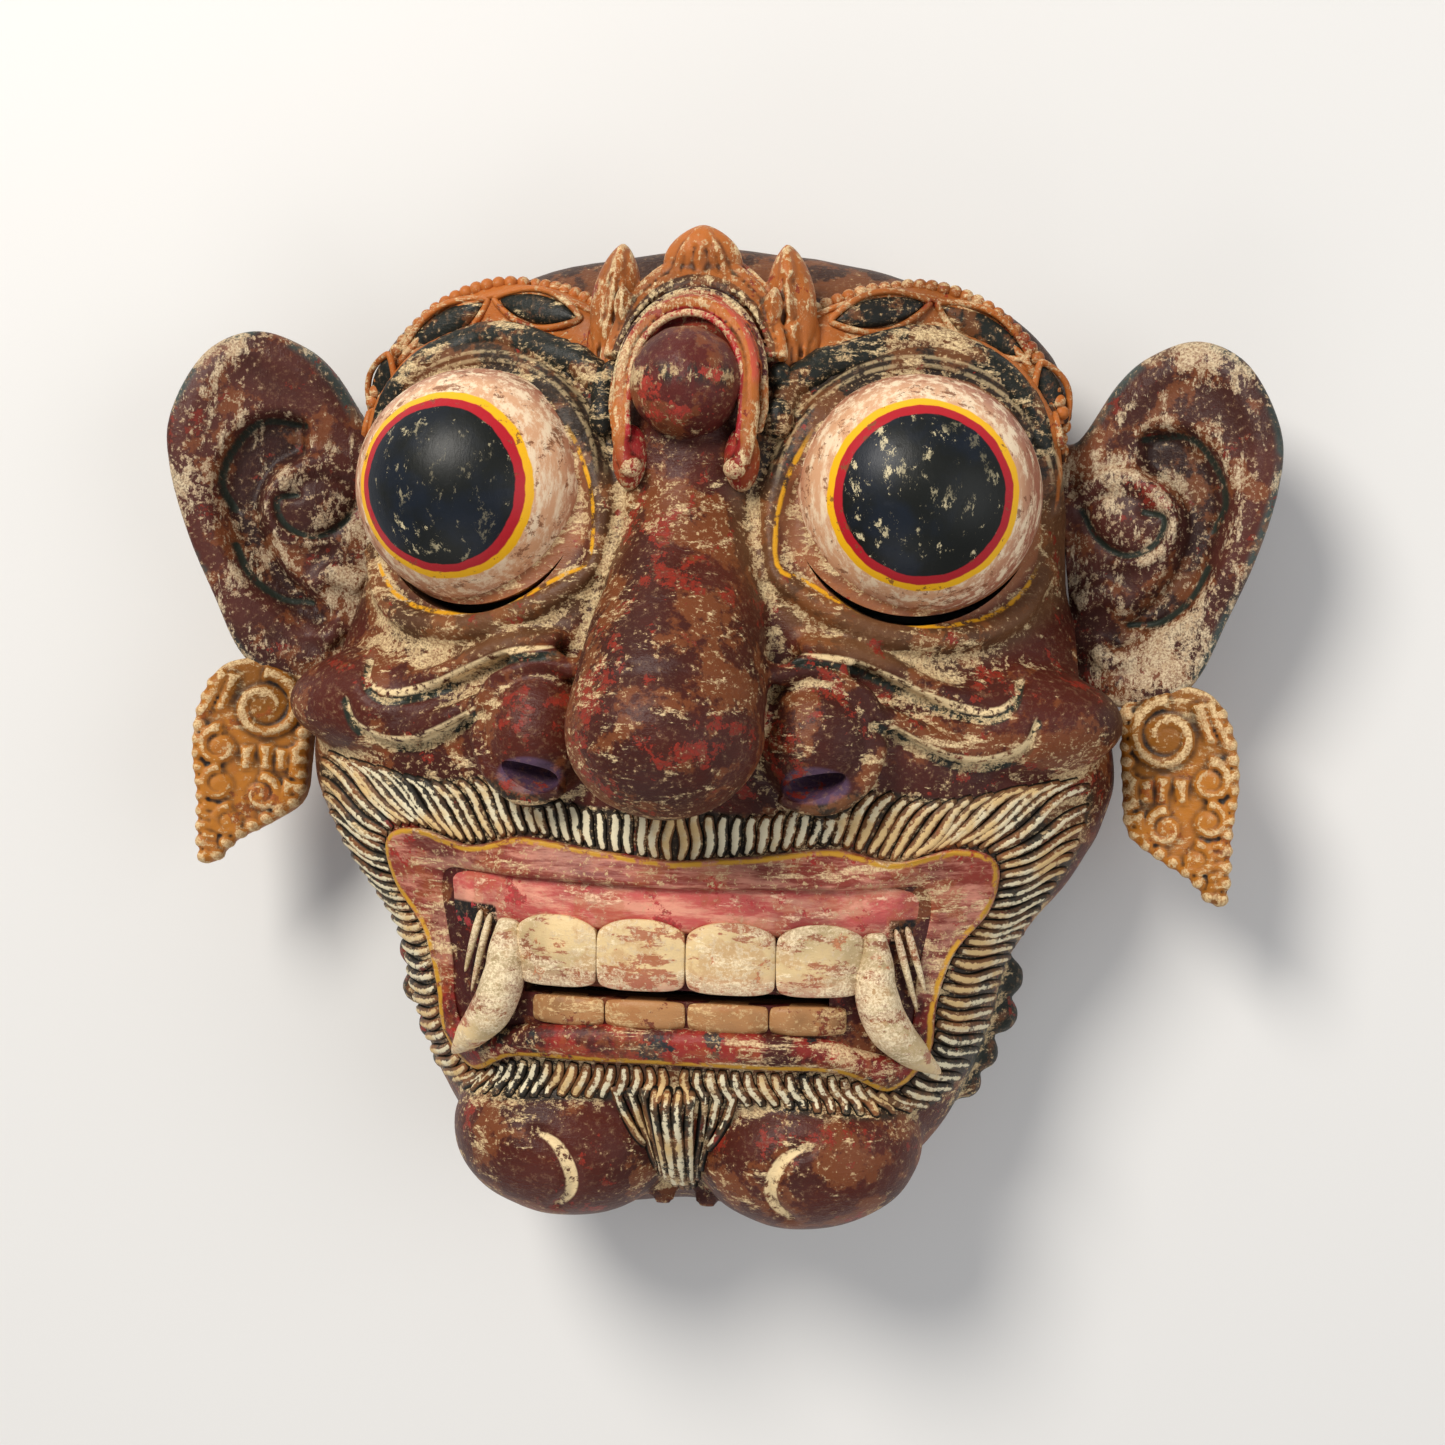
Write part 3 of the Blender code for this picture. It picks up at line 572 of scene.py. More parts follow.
hair = {"pitch": 3.35, "radius": 1.72, "lift": -0.15, "steps": 15, "rise": 4.5,
        "goatee": ((1.3, 0.8, -117), (4.0, 2.4, -116), (6.8, 4.0, -113), (9.8, 5.8, -109), (13.2, 8.4, -103))}


def makeHair():
    carving = Carving()
    stations = np.linspace(0, len(lines["hairOut"]) - 1, 900)
    outer = byStations(lines["hairOut"], stations)
    inner = byStations(lines["hairIn"], stations)
    middle = (outer + inner) / 2
    run = np.concatenate(([0], np.cumsum(np.linalg.norm(np.diff(middle, axis=0), axis=1))))
    count = int(run[-1] / hair["pitch"])
    for side in (-1, 1):
        strands = []
        for index in range(count):
            at = (index + 0.5) / count * run[-1]
            start = np.array([np.interp(at, run, outer[:, axis]) for axis in (0, 1)])
            end = np.array([np.interp(at, run, inner[:, axis]) for axis in (0, 1)])
            across = (end - start)[::-1] * (1, -1)
            sweep = 0.10 * sin(min(at / 110, 1) * pi) + rng.uniform(-0.03, 0.03)
            wave = 0.04 * rng.uniform(0.6, 1.4)
            points = []
            for share in np.linspace(rng.uniform(0.0, 0.05), 1.0, hair["steps"]):
                bow = sweep * sin(pi * share) + wave * sin(2 * pi * share + 0.6)
                x, y = start + (end - start) * share + across * bow
                point = onSkin(side * x, y, hair["lift"])[0]
                highest = float(skinHeight(x, y)) + hair["rise"]
                points.append(Vector((point.x, point.y, min(point.z, highest))))
            swell = np.sin(np.linspace(0.10, 0.93, hair["steps"]) * pi) ** 0.35
            strands.append((points, list(hair["radius"] * swell * rng.uniform(0.90, 1.04))))
        for x1, x2, low in hair["goatee"]:
            line = smoothLine(((x1 * 1.15, -87), (x1 * 0.75 + x2 * 0.2, -98), (x2, low)), hair["steps"])
            strands.append(([onSkin(side * x, y, 0.2)[0] for x, y in line],
                            list(1.45 * np.sin(np.linspace(0.2, 0.85, hair["steps"]) * pi) ** 0.4)))
        carving.ropes(strands, sides=3)
    item = carving.piece("hairStrands")
    place = inParts(item)
    facing = [skinTree.find_nearest(Vector(row))[1].dot(Vector(way))
              for row, way in zip(place, normals(item))]
    # middle marks the moustache under the nose, where the hair paint adds cream as painted light against the
    # nose's shadow
    keep(item, crest=facing, middle=np.exp(-(place[:, 0] / 42) ** 2) * (place[:, 1] > -60))
    return item


hairStrands = makeHair()
print("stage: hair", len(hairStrands.data.polygons))


# A strip between two lines on the head, lifted along its width
def loft(form, first, second, shares, profiles):
    rows = []
    for start, end, lifts in zip(first, second, profiles):
        row = []
        for share, lift in zip(shares, lifts):
            x, y = start + (end - start) * share
            row.append(form.verts.new((x, y, float(skinHeight(x, y)) + lift)))
        rows.append(row)
    for here, after in zip(rows[:-1], rows[1:]):
        for index in range(len(here)):
            form.faces.new((here[index - 1], here[index], after[index], after[index - 1]))
    form.faces.new(rows[0])
    form.faces.new(rows[-1])


# Joins objects into one smooth piece whose place is in its mesh
def joined(name, items):
    bpy.ops.object.select_all(action="DESELECT")
    for item in items:
        item.select_set(True)
    bpy.context.view_layer.objects.active = items[0]
    if len(items) > 1:
        bpy.ops.object.join()
    bpy.ops.object.transform_apply(location=True, rotation=True, scale=True)
    bpy.ops.object.shade_smooth()
    item = bpy.context.object
    item.name = item.data.name = name
    return item


# The lips: a loft from the outer edge to the inner one, over a section that changes round the mouth
lip = {
    "shares": (0.0, 0.0, 0.06, 0.14, 0.26, 0.42, 0.60, 0.78, 0.92, 1.0, 1.0),
    "upper": (-6, 1.8, 3.2, 2.9, 3.0, 3.6, 4.6, 5.4, 5.2, 3.4, -6),
    "sides": (-6, 1.8, 3.2, 2.6, 2.2, 1.9, 1.3, 0.8, 0.5, 0.2, -6),
    "lower": (-6, 1.6, 3.0, 3.2, 4.0, 4.6, 4.6, 3.8, 2.6, 1.2, -6),
}


def makeLips():
    count = 120
    outer, inner = smoothLine(lines["lipOut"], count), smoothLine(lines["lipIn"], count)
    profiles = [[np.interp(where, (0, 0.25, 0.36, 0.60, 0.74, 1), (u, u, s, s, l, l))
                 for u, s, l in zip(lip["upper"], lip["sides"], lip["lower"])]
            for where in np.linspace(0, 1, count)]
    form = bmesh.new()
    for side in (-1, 1):
        loft(form, outer * (side, 1), inner * (side, 1), lip["shares"], profiles)
    bmesh.ops.remove_doubles(form, verts=form.verts, dist=0.01)
    bmesh.ops.recalc_face_normals(form, faces=form.faces)
    item = finer(pieceFrom("lips", form))
    x, y, z = inParts(item).T
    keep(item, edge=insideBy(x, y, mirrored("lipOut", 90)), above=y, across=np.abs(x))
    keepCrest(item, 6, 0.6)
    return item


lips = makeLips()

mouth = {
    "shift": 3.4,
    "upperTeeth": {"places": ((11.0, 21.8), (32.4, 20.8)), "y": -52.8, "high": 17.8, "lift": 1.0,
                   "arch": 1.0},
    "lowerTeeth": {"places": ((10.2, 19.8), (29.6, 18.4)), "y": -68.0, "high": 7.4, "lift": -1.2,
                   "arch": 0.4},
    "tusk": ((45.0, -46), (45.6, -53), (45.8, -60), (48.8, -68.5), (55.0, -76), (61.0, -82)),
    "tuskHalf": (2.6, 4.6, 5.5, 5.4, 3.9, 0.9), "tuskLift": (1.5, 2.6, 4.2, 5.6, 6.2, 5.2),
    "threads": ((50.0, -45, 55.6, -66), (52.6, -44.5, 57.4, -61)), "gumHalf": 60.5,
}


def inEditMode(operator, **settings):
    bpy.ops.object.mode_set(mode="EDIT")
    bpy.ops.mesh.select_all(action="SELECT")
    operator(**settings)
    bpy.ops.object.mode_set(mode="OBJECT")


def tooth(carving, x, row, width):
    bpy.ops.object.select_all(action="DESELECT")
    bpy.ops.mesh.primitive_cube_add(size=1)
    block = bpy.context.object
    inEditMode(bpy.ops.mesh.subdivide, number_cuts=9)
    form = bmesh.new()
    form.from_mesh(block.data)
    bpy.data.meshes.remove(block.data)
    for vertex in form.verts:
        u, v, w = vertex.co * 2
        high = v * (1 - row["arch"] * 0.34 * abs(u) ** 2.6) if v > 0 else v * (1 - 0.10 * abs(u) ** 4)
        full = 1 - 0.45 * abs(u) ** 3 - 0.25 * abs(v) ** 4 if w > 0 else 1
        across = x + u * width / 2 * (1 - 0.05 * abs(v) ** 4)
        rise = row["y"] + high * row["high"] / 2
        vertex.co = (across, rise, float(skinHeight(across, rise)) + row["lift"] + w * 3.8 * full)
    carving.add(form)


def makeTeeth(name, row, tusks):
    carving = Carving()
    shift = mouth["shift"]
    for side in (-1, 1):
        for x, width in row["places"]:
            tooth(carving, side * x + shift, row, width)
        if tusks:
            line, radii = spread(mouth["tusk"], mouth["tuskHalf"], 30)
            lifts = spread(mouth["tusk"], mouth["tuskLift"], 30)[1]
            carving.ropes([([spot(side * x + shift, y, lift) for (x, y), lift in zip(line, lifts)], radii)],
                          sides=8)
            for x1, y1, x2, y2 in mouth["threads"]:
                stations = ((x1, y1, 2.4), ((x1 + x2) / 2, (y1 + y2) / 2, 3.2), (x2, y2, 2.2))
                carving.ropes([([spot(side * x + shift, y, lift) for x, y, lift in stations],
                                [1.2, 1.0, 0.6])])
    item = finer(carving.piece(name))
    keepCrest(item, 6, 0.5)
    x, y, z = inParts(item).T
    keep(item, above=y, across=np.abs(x - shift))
    return item


def makeGum():
    form = bmesh.new()
    across = np.linspace(-mouth["gumHalf"], mouth["gumHalf"], 90)
    bend = np.abs(across / mouth["gumHalf"]) ** 7
    top = np.column_stack((across, -33.5 - 3.0 * bend))
    foot = np.column_stack((across, -48.0 - 6.0 * bend))
    loft(form, top, foot, (0, 0, 0.1, 0.3, 0.55, 0.8, 1, 1),
         [(-5, 1.0 - 2 * low, 2.2 - 3 * low, 3.0 - 4 * low, 3.2 - 4 * low, 2.6 - 4 * low, 1.0 - 2 * low, -5)
          for low in bend])
    bmesh.ops.recalc_face_normals(form, faces=form.faces)
    item = finer(pieceFrom("gum", form))
    x, y, z = inParts(item).T
    keep(item, black=np.minimum(np.abs(x - mouth["shift"]) - 48.5, -43.0 - y))
    keepCrest(item, 6, 0.6)
    return item


teeth = makeTeeth("teeth", mouth["upperTeeth"], True)
lowerTeeth = makeTeeth("lowerTeeth", mouth["lowerTeeth"], False)
gum = makeGum()
print("stage: mouth", len(teeth.data.polygons), len(gum.data.polygons))


def globe(centre, radius, segments, rings):
    bpy.ops.object.select_all(action="DESELECT")
    bpy.ops.mesh.primitive_uv_sphere_add(segments=segments, ring_count=rings, radius=radius * part,
                                         location=Vector(centre) * part)
    return bpy.context.object


def makeEyes():
    balls = []
    middle = eye["reach"] - eye["radius"]
    for side in (-1, 1):
        ball = globe((side * eye["x"], eye["y"], middle), eye["radius"], 160, 120)
        ball.scale.x = eye["wide"] / eye["radius"]
        bpy.ops.object.transform_apply(location=True, rotation=True, scale=True)
        inEditMode(bpy.ops.mesh.bisect, plane_co=(0, 0, (middle - 4) * part), plane_no=(0, 0, 1),
                   use_fill=True,
                   clear_inner=True)
        balls.append(ball)
    item = joined("eyeballs", balls)
    cut(item, hollowPiece(head["wall"] - 2))
    place = inParts(item)
    side = np.sign(place[:, 0])
    out = place - np.column_stack((side * eye["x"], np.full(len(side), eye["y"]), np.full(len(side), middle)))
    aim = np.column_stack((np.where(side < 0, -0.155, 0.13), np.full(len(side), -0.045), np.ones(len(side))))
    aim /= np.linalg.norm(aim, axis=1)[:, None]
    along = (out * aim).sum(axis=1)
    keep(item, ring=np.linalg.norm(out - aim * along[:, None], axis=1), edge=np.hypot(out[:, 0], out[:, 1]),
         depth=out[:, 2])
    return item


eyeballs = makeEyes()


# The brow stripe, and the diadem with its leaves and beads
def makeBrows():
    carving = Carving()
    for side in (-1, 1):
        carving.ropes([lay(lines["stripe"], (2.8, 4.3, 4.8, 4.8, 4.5, 3.8, 2.8, 0.9), -2.8, 60, side)],
                      sides=5)
        for x, y, size in ((21.5, 78, (3.8, 5.0, 3.4)), (21.0, 88, (3.2, 3.8, 3.2))):
            carving.ball(onSkin(side * x, y, 0.5)[0], size, segments=24)
    item = carving.piece("browStripes")
    keepCrest(item, 3, 0.3)
    return item


leaves = {"places": ((32, 103.5, 55, 109.0), (58, 108.8, 80, 96.5), (83, 94.5, 89.5, 79)), "wide": 3.6}


def leafFrame(side, x1, y1, x2, y2):
    middle, normal = onSkin(side * (x1 + x2) / 2, (y1 + y2) / 2, 0.2)
    first = onSkin(side * x1, y1)[0]
    last = onSkin(side * x2, y2)[0]
    along = (last - first).normalized()
    across = normal.cross(along).normalized()
    out = along.cross(across).normalized()
    turn = Matrix((along, across, out)).transposed().to_4x4()
    return Matrix.Translation(middle) @ turn, (last - first).length


def makeDiadem():
    heap, rims = Carving(), Carving()
    for side in (-1, 1):
        for leaf in leaves["places"]:
            place, length = leafFrame(side, *leaf)
            form = bmesh.new()
            bmesh.ops.create_uvsphere(form, u_segments=40, v_segments=24, radius=1)
            for vertex in form.verts:
                x, y, z = vertex.co
                vertex.co = (x * length * 0.46, y * leaves["wide"] * max(1 - x * x, 0) ** 0.25, z * 1.7)
            heap.add(form, place)
            points = []
            for angle in np.linspace(0, 2 * pi, 41):
                x = cos(angle)
                y = sin(angle) * (1 - 0.55 * x * x)
                points.append(place @ Vector((x * length * 0.52, y * (leaves["wide"] + 1.4), 0.5)))
            rims.ropes([(points, [0.85] * 41)])
    for side in (-1, 1):
        for x, y in smoothLine(lines["beads"], 30):
            rims.ball(onSkin(side * x, y, 0.2)[0], (1.9, 1.9, 1.9), segments=14)
        rims.ropes([lay(tuple((x - 1.2, y - 3.2) for x, y in lines["beads"]), (0.9, 1.0, 0.9), 0.3, 50,
                        side)])
    black, orange = heap.piece("diademLeaves"), rims.piece("diademEdge")
    keepCrest(black, 3, 0.4)
    keepCrest(orange, 3, 0.35)
    return black, orange


browStripes = makeBrows()
diademLeaves, diademEdge = makeDiadem()

crownLines = {
    "arches": ((15.4, 19, 17.5, 85.5, 0.26, 60, -6, 186, 2.2), (13.3, 16.4, 16, 86.5, 0.20, 60, -6, 186, 1.0),
               (17.8, 22.6, 16, 81.5, 0.30, 50, 4, 176, 1.3), (21.6, 31.0, 16, 77, 0.33, 50, 12, 168, 2.0),
               (23.8, 33.2, 16, 74, 0.33, 50, 22, 158, 0.9)),
    "flames": (((23.4, 92, 60), (20.6, 122.0, 57), 6.4, 5.4), ((25.8, 86, 60), (27.0, 106, 54.5), 3.2, 4.0),
               ((18.2, 100, 68), (18.9, 110.5, 66), 2.4, 2.4)),
    "ribs": ((((6.4, 113.5, 64.0), (4.5, 119.5, 65.2), (1.2, 124.6, 63.8)), (0.9, 0.9, 0.6)),
             (((3.6, 113.5, 64.0), (2.75, 119.5, 65.2), (0.5, 121.5, 63.8)), (0.9, 0.9, 0.6)),
             (((0.9, 113.0, 65.0), (0.9, 117.5, 65.6)), (0.6, 0.5)),
             (((19.4, 98, 65.6), (20.2, 118, 62.1)), (1.0, 0.6)),
             (((24.2, 90, 64.6), (22.8, 110, 61.1)), (1.0, 0.6)),
             (((22.0, 86, 66.4), (22.0, 104, 62.9)), (1.0, 0.6))),
    "legs": ((((15.3, 86.5, 81.3), (15.9, 79, 83), (15.4, 72, 84), (14.2, 66.5, 84.2)), (2.2, 2.2, 2.1, 2.2)),
             (((13.2, 86.5, 83.3), (13.9, 79, 84.6), (13.2, 72, 85.4)), (1.0, 1.0, 0.8)),
             (((17.9, 88, 77), (18.4, 80, 78.5), (17.6, 74, 80)), (1.3, 1.3, 0.9))),
    "scroll": (12.6, 64.6, 84.6),
}


def flame(carving, base, tip, half, thick):
    axis = tip - base
    form = bmesh.new()
    bmesh.ops.create_uvsphere(form, u_segments=28, v_segments=20, radius=1)
    along = axis.normalized()
    across = along.cross(Vector((0, 0, 1))).normalized()
    turn = Matrix((across, across.cross(along), along)).transposed().to_4x4()
    for vertex in form.verts:
        x, y, z = vertex.co
        taper = (1 - max(z, 0) ** 1.6) ** 0.5 if z > 0 else 1
        ridge = 1.4 if abs(x) < 0.2 else 1.0
        vertex.co = (x * half * (0.55 + 0.45 * taper), y * thick * ridge, z * axis.length / 2)
    carving.add(form, Matrix.Translation((base + tip) / 2) @ turn)


def archPoints(wide, high, low, height, slope, count, start, stop):
    points = []
    for angle in np.linspace(radians(start), radians(stop), count):
        y = 86 + (high if sin(angle) > 0 else low) * sin(angle)
        points.append(Vector((wide * cos(angle), y, height - slope * (y - 70))))
    return points


def makeCrown():
    carving = Carving()
    carving.ball((0, 98, 53), (19.5, 21, 19.5))
    carving.ball((0, 84, 66), (15.5, 19, 15.5))
    carving.ropes([(archPoints(*arch), [half] * arch[5]) for *arch, half in crownLines["arches"]])
    for angle in np.linspace(radians(16), radians(164), 36):
        ends = [Vector((wide * cos(angle), 86 + high * sin(angle), height - slope * (16 + drop * sin(angle))))
                for wide, high, height, slope, drop in ((19.4, 25.4, 79.8, 0.30, 25),
                                                        (20.8, 29.4, 78.6, 0.33, 28),
                                                        (16.9, 21.0, 83.4, 0.28, 20))]
        carving.ropes([(ends[:2], [0.75, 0.85])], sides=2)
        carving.ball(ends[2], (1.0, 1.0, 1.0), segments=10)
    flame(carving, Vector((0, 108, 60)), Vector((0, 126.2, 61)), 10.0, 4.5)
    for side in (-1, 1):
        for base, tip, half, thick in crownLines["flames"]:
            flame(carving, at(side, base), at(side, tip), half, thick)
        for name, sides in (("ribs", 2), ("legs", 3)):
            carving.ropes([([at(side, point) for point in points], radii)
                           for points, radii in crownLines[name]],
                          sides=sides)
        scroll = at(side, crownLines["scroll"])
        carving.ball(scroll + Vector((0, 0.4, 0)), (2.9, 2.6, 2.6), segments=20)
        carving.ball(scroll + Vector((side * 1.0, 3, -5)), (4.4, 8.0, 5), segments=24)
    item = oneSkin(carving.piece("crown"), 0.58, 1)
    cut(item, hollowPiece(head["wall"] - 2))
    x, y, z = inParts(item).T
    keep(item, arch=np.hypot(x, np.maximum(y - 86, 0) / 1.30), above=y)
    keepCrest(item, 6, 0.40)
    return item


def makeJewel():
    item = joined("jewel", [globe((0, 85.5, 82.8), 13.4, 64, 48)])
    cut(item, hollowPiece(head["wall"] - 2))
    x, y, z = inParts(item).T
    pushOut(item, 0.12 * np.sin(x * 0.9 + np.sin(y * 0.7) * 1.5))
    keep(item, crest=np.zeros(len(y)), above=y)
    return item


crown = makeCrown()
jewel = makeJewel()
print("stage: crown", len(crown.data.polygons))

ear = {
    "root": 95, "height": 27, "forward": 17, "spread": 48, "half": 4.0,
    "rim": ((93, 76), (103, 91), (111, 98), (123, 101.5), (135, 95), (143, 79), (143, 65), (138.5, 48),
            (132, 32), (124, 15), (112, 9), (97, 10), (84, 12), (84, 74)),
    "bowl": ((110, 79), (121, 79), (129, 71), (131.5, 59), (129, 46), (122, 33), (112, 24), (104, 22),
             (101, 27), (108, 34), (115, 42), (119.5, 54), (116, 64), (109, 69)),
    "folds": ((((94, 64), (103, 67), (112, 64), (116.5, 56), (113, 48), (104, 46)),
               (2.4, 3.6, 3.6, 3.4, 3.0, 2.0), 40, 0.9),
              (((100, 20), (108, 27), (117, 31), (123, 39), (127, 47)), (4.6, 4.2, 3.4, 2.8, 1.8), 30, 0.7),
              (((94, 35), (101, 38), (107, 34)), (4.0, 3.8, 2.4), 20, 0.8)),
    "grooves": (((110, 77), (121, 77.5), (128, 70), (130.5, 61), (128, 54)),
                ((95, 59), (99.5, 51.5), (106.5, 47.5), (113.5, 50.5), (115.5, 57), (110.5, 58.5)),
                ((108, 30), (116, 31), (123, 37), (127, 45))),
}


def bendEar(item, side):
    place = inParts(item)
    place[:, 2] += ear["height"] + ear["forward"] * np.maximum(place[:, 0] - ear["root"], -12) / ear["spread"]
    place[:, 0] *= side
    movePlaces(item, place * part)
    if side < 0:
        item.data.flip_normals()


def makeEar(name, side):
    carving = Carving()
    half = ear["half"]
    rim = smoothLine(ear["rim"], 110, closed=True)
    carving.plate(rim, -half, half, 2.2)
    carving.ball((105, 56, half * 0.6), (9.5, 8.5, 4.6), segments=30)
    ropes = []
    for points, radii, count, lift in ear["folds"]:
        line, sizes = spread(points, radii, count)
        ropes.append(([(x, y, half * lift) for x, y in line], sizes))
    carving.ropes(ropes)
    item = oneSkin(carving.piece(name), 0.95, 9)
    place = inParts(item)
    x, y, z = place.T
    bowl = insideBy(x, y, smoothLine(ear["bowl"], 60, closed=True))
    rimIn = insideBy(x, y, rim)
    grooves = [lineDistance(x, y, smoothLine(line, 30)) for line in ear["grooves"]]
    upper = z > 0
    push = -5.8 * np.clip((bowl + 1.0) / 4.4, 0, 1) ** 1.1 + 1.2 * np.exp(-((rimIn - 6.0) / 3.2) ** 2)
    push += sum(groove(distance, 1.2, 1.7) for distance in grooves)
    place[:, 2] += push * upper
    movePlaces(item, place * part)
    keep(item, rim=rimIn, bowl=np.where(upper, bowl, -9), line=np.min(grooves, axis=0))
    keepCrest(item, 10, 0.8)
    bendEar(item, side)
    trim = Carving()
    seatBlock(trim, side, -1, 0.9, 240, 160, 40)
    cut(item, trim.piece("seatTrim"))
    return item


# The earring: scrolls on a leaf-shaped blank with a scalloped edge
earring = {
    "edge": ((109, 14), (127, 14), (134, 4), (136, -9), (134.5, -22), (133, -40), (126, -34), (117, -29),
             (109.5, -23), (107.8, -12), (107.2, 2)),
    "scrolls": ((118, 2.2, 9.0, 1.6, 3.4, 1), (129, -8.5, 5.0, 1.2, 2.6, -1), (129, -18.5, 4.4, 1.1, 2.4, -1),
                (118.5, -21, 4.6, 1.2, 2.4, 1), (126.5, -28.5, 4.0, 1.1, 2.2, -1)),
    "bars": ((110, -9, 110.5, -16), (113.5, -9.5, 113.5, -14), (117.5, -8.5, 117.5, -14),
             (122, -9, 122.5, -14),
             (111.5, -18, 114, -25), (128, 11, 133, 1), (125.5, 10.5, 129, 1.5)),
}


def makeEarring(name, side):
    carving = Carving()
    half = ear["half"]
    outline = smoothLine(earring["edge"], 70, closed=True)
    carving.plate(outline, -half, half, 1.2)
    ropes = []
    for x, y, outer, turns, thick, hand in earring["scrolls"]:
        carving.ball((x, y, half * 0.4), (outer * 0.95, outer * 0.95, half * 0.9), segments=28)
        ropes.append(spiral(Vector((x, y, half * 1.05)), outer, 1.0, turns, thick, pi / 2, hand))
    for x1, y1, x2, y2 in earring["bars"]:
        ropes.append(([(x1, y1, half), (x2, y2, half)], [1.5, 1.1]))
    for x, y in outline[::2]:
        if y < 10:
            inward = (Vector((121, -10)) - Vector((x, y))).normalized() * 1.6
            carving.ball((x + inward.x, y + inward.y, half * 0.55), (2.0, 2.0, half * 0.75), segments=14)
    for step in np.linspace(0, 1, 6):
        x, y = 132.6 - 0.4 * step, -24 - 13 * step
        ropes.append(([(x - 2.6, y - 0.8, half), (x + 0.2, y, half * 1.05)], [1.0, 1.0]))
    carving.ropes(ropes)
    item = oneSkin(carving.piece(name), 0.62, 1)
    keepCrest(item, 6, 0.5)
    bendEar(item, side)
    return item


ears = [makeEar("leftEarSkin", -1), makeEar("rightEarSkin", 1)]
earrings = [makeEarring("leftEarring", -1), makeEarring("rightEarring", 1)]
print("stage: ears", len(ears[0].data.polygons), len(earrings[0].data.polygons))

colours = {
    "maroon": "4d1d12", "red": "8c2b1c", "cream": "e2c898", "orange": "b3662c", "ochre": "ad6c24",
    "black": "1b1f1a", "green": "232a21", "brown": "42281d", "yellow": "d69a1c", "bone": "dcc08e",
    "purple": "4e2821", "hair": "352a1f", "wood": "7a5234",
}


def rgb(text):
    text = colours.get(text, text)
    values = [int(text[index:index + 2], 16) / 255 for index in (0, 2, 4)]
    return [value / 12.92 if value <= 0.04045 else ((value + 0.055) / 1.055) ** 2.4
            for value in values] + [1.0]


# A short way to write node trees: values add and multiply as numbers do
class Value:
    def __init__(self, nodes, socket):
        self.nodes = nodes
        self.socket = socket

    def maths(self, operation, other=0.0):
        return Value(self.nodes, self.nodes.node("ShaderNodeMath", {0: self, 1: other},
                                                 operation=operation).outputs[0])

    def __add__(self, other):
        return self.maths("ADD", other)

    def __sub__(self, other):
        return self.maths("SUBTRACT", other)

    def __mul__(self, other):
        return self.maths("MULTIPLY", other)

    def most(self, other):
        return self.maths("MAXIMUM", other)

    def step(self, low, high):
        made = self.nodes.node("ShaderNodeMapRange", {"Value": self, "From Min": low, "From Max": high},
                               interpolation_type="SMOOTHSTEP")
        return Value(self.nodes, made.outputs["Result"])

    def near(self, middle, width, soft):
        return (self - middle).maths("ABSOLUTE").step(width + soft, width - soft)


class Nodes:
    def __init__(self, tree):
        self.tree = tree

    def feed(self, made, given):
        for name, value in given.items():
            value = rgb(value) if isinstance(value, str) else getattr(value, "socket", value)
            if isinstance(value, bpy.types.NodeSocket):
                self.tree.links.new(value, made.inputs[name])
            else:
                made.inputs[name].default_value = value

    def node(self, kind, given={}, **settings):
        made = self.tree.nodes.new(kind)
        for name, value in settings.items():
            setattr(made, name, value)
        self.feed(made, given)
        return made

    def mix(self, factor, first, second):
        return self.node("ShaderNodeMix", {0: factor, 6: first, 7: second}, data_type="RGBA").outputs[2]

    # Paint over paint: each mask with the paint that shows through it
    def coats(self, shade, *layers):
        for mask, paint in layers:
            shade = self.mix(mask, shade, paint)
        return shade

    def noise(self, scale, detail=4.0, rough=0.6, stretch=(1, 1, 1), shift=0.0):
        where = self.node("ShaderNodeTexCoord").outputs["Object"]
        place = (shift, shift * 1.7, shift * 0.6)
        move = self.node("ShaderNodeMapping", {"Vector": where, "Scale": stretch, "Location": place})
        made = self.node("ShaderNodeTexNoise", {"Vector": move.outputs[0], "Scale": scale, "Detail": detail,
                                                "Roughness": rough})
        return Value(self, made.outputs["Fac"])

    def value(self, name):
        return Value(self, self.node("ShaderNodeAttribute", attribute_name=name).outputs["Fac"])

    def values(self, *names):
        return [self.value(name) for name in names]
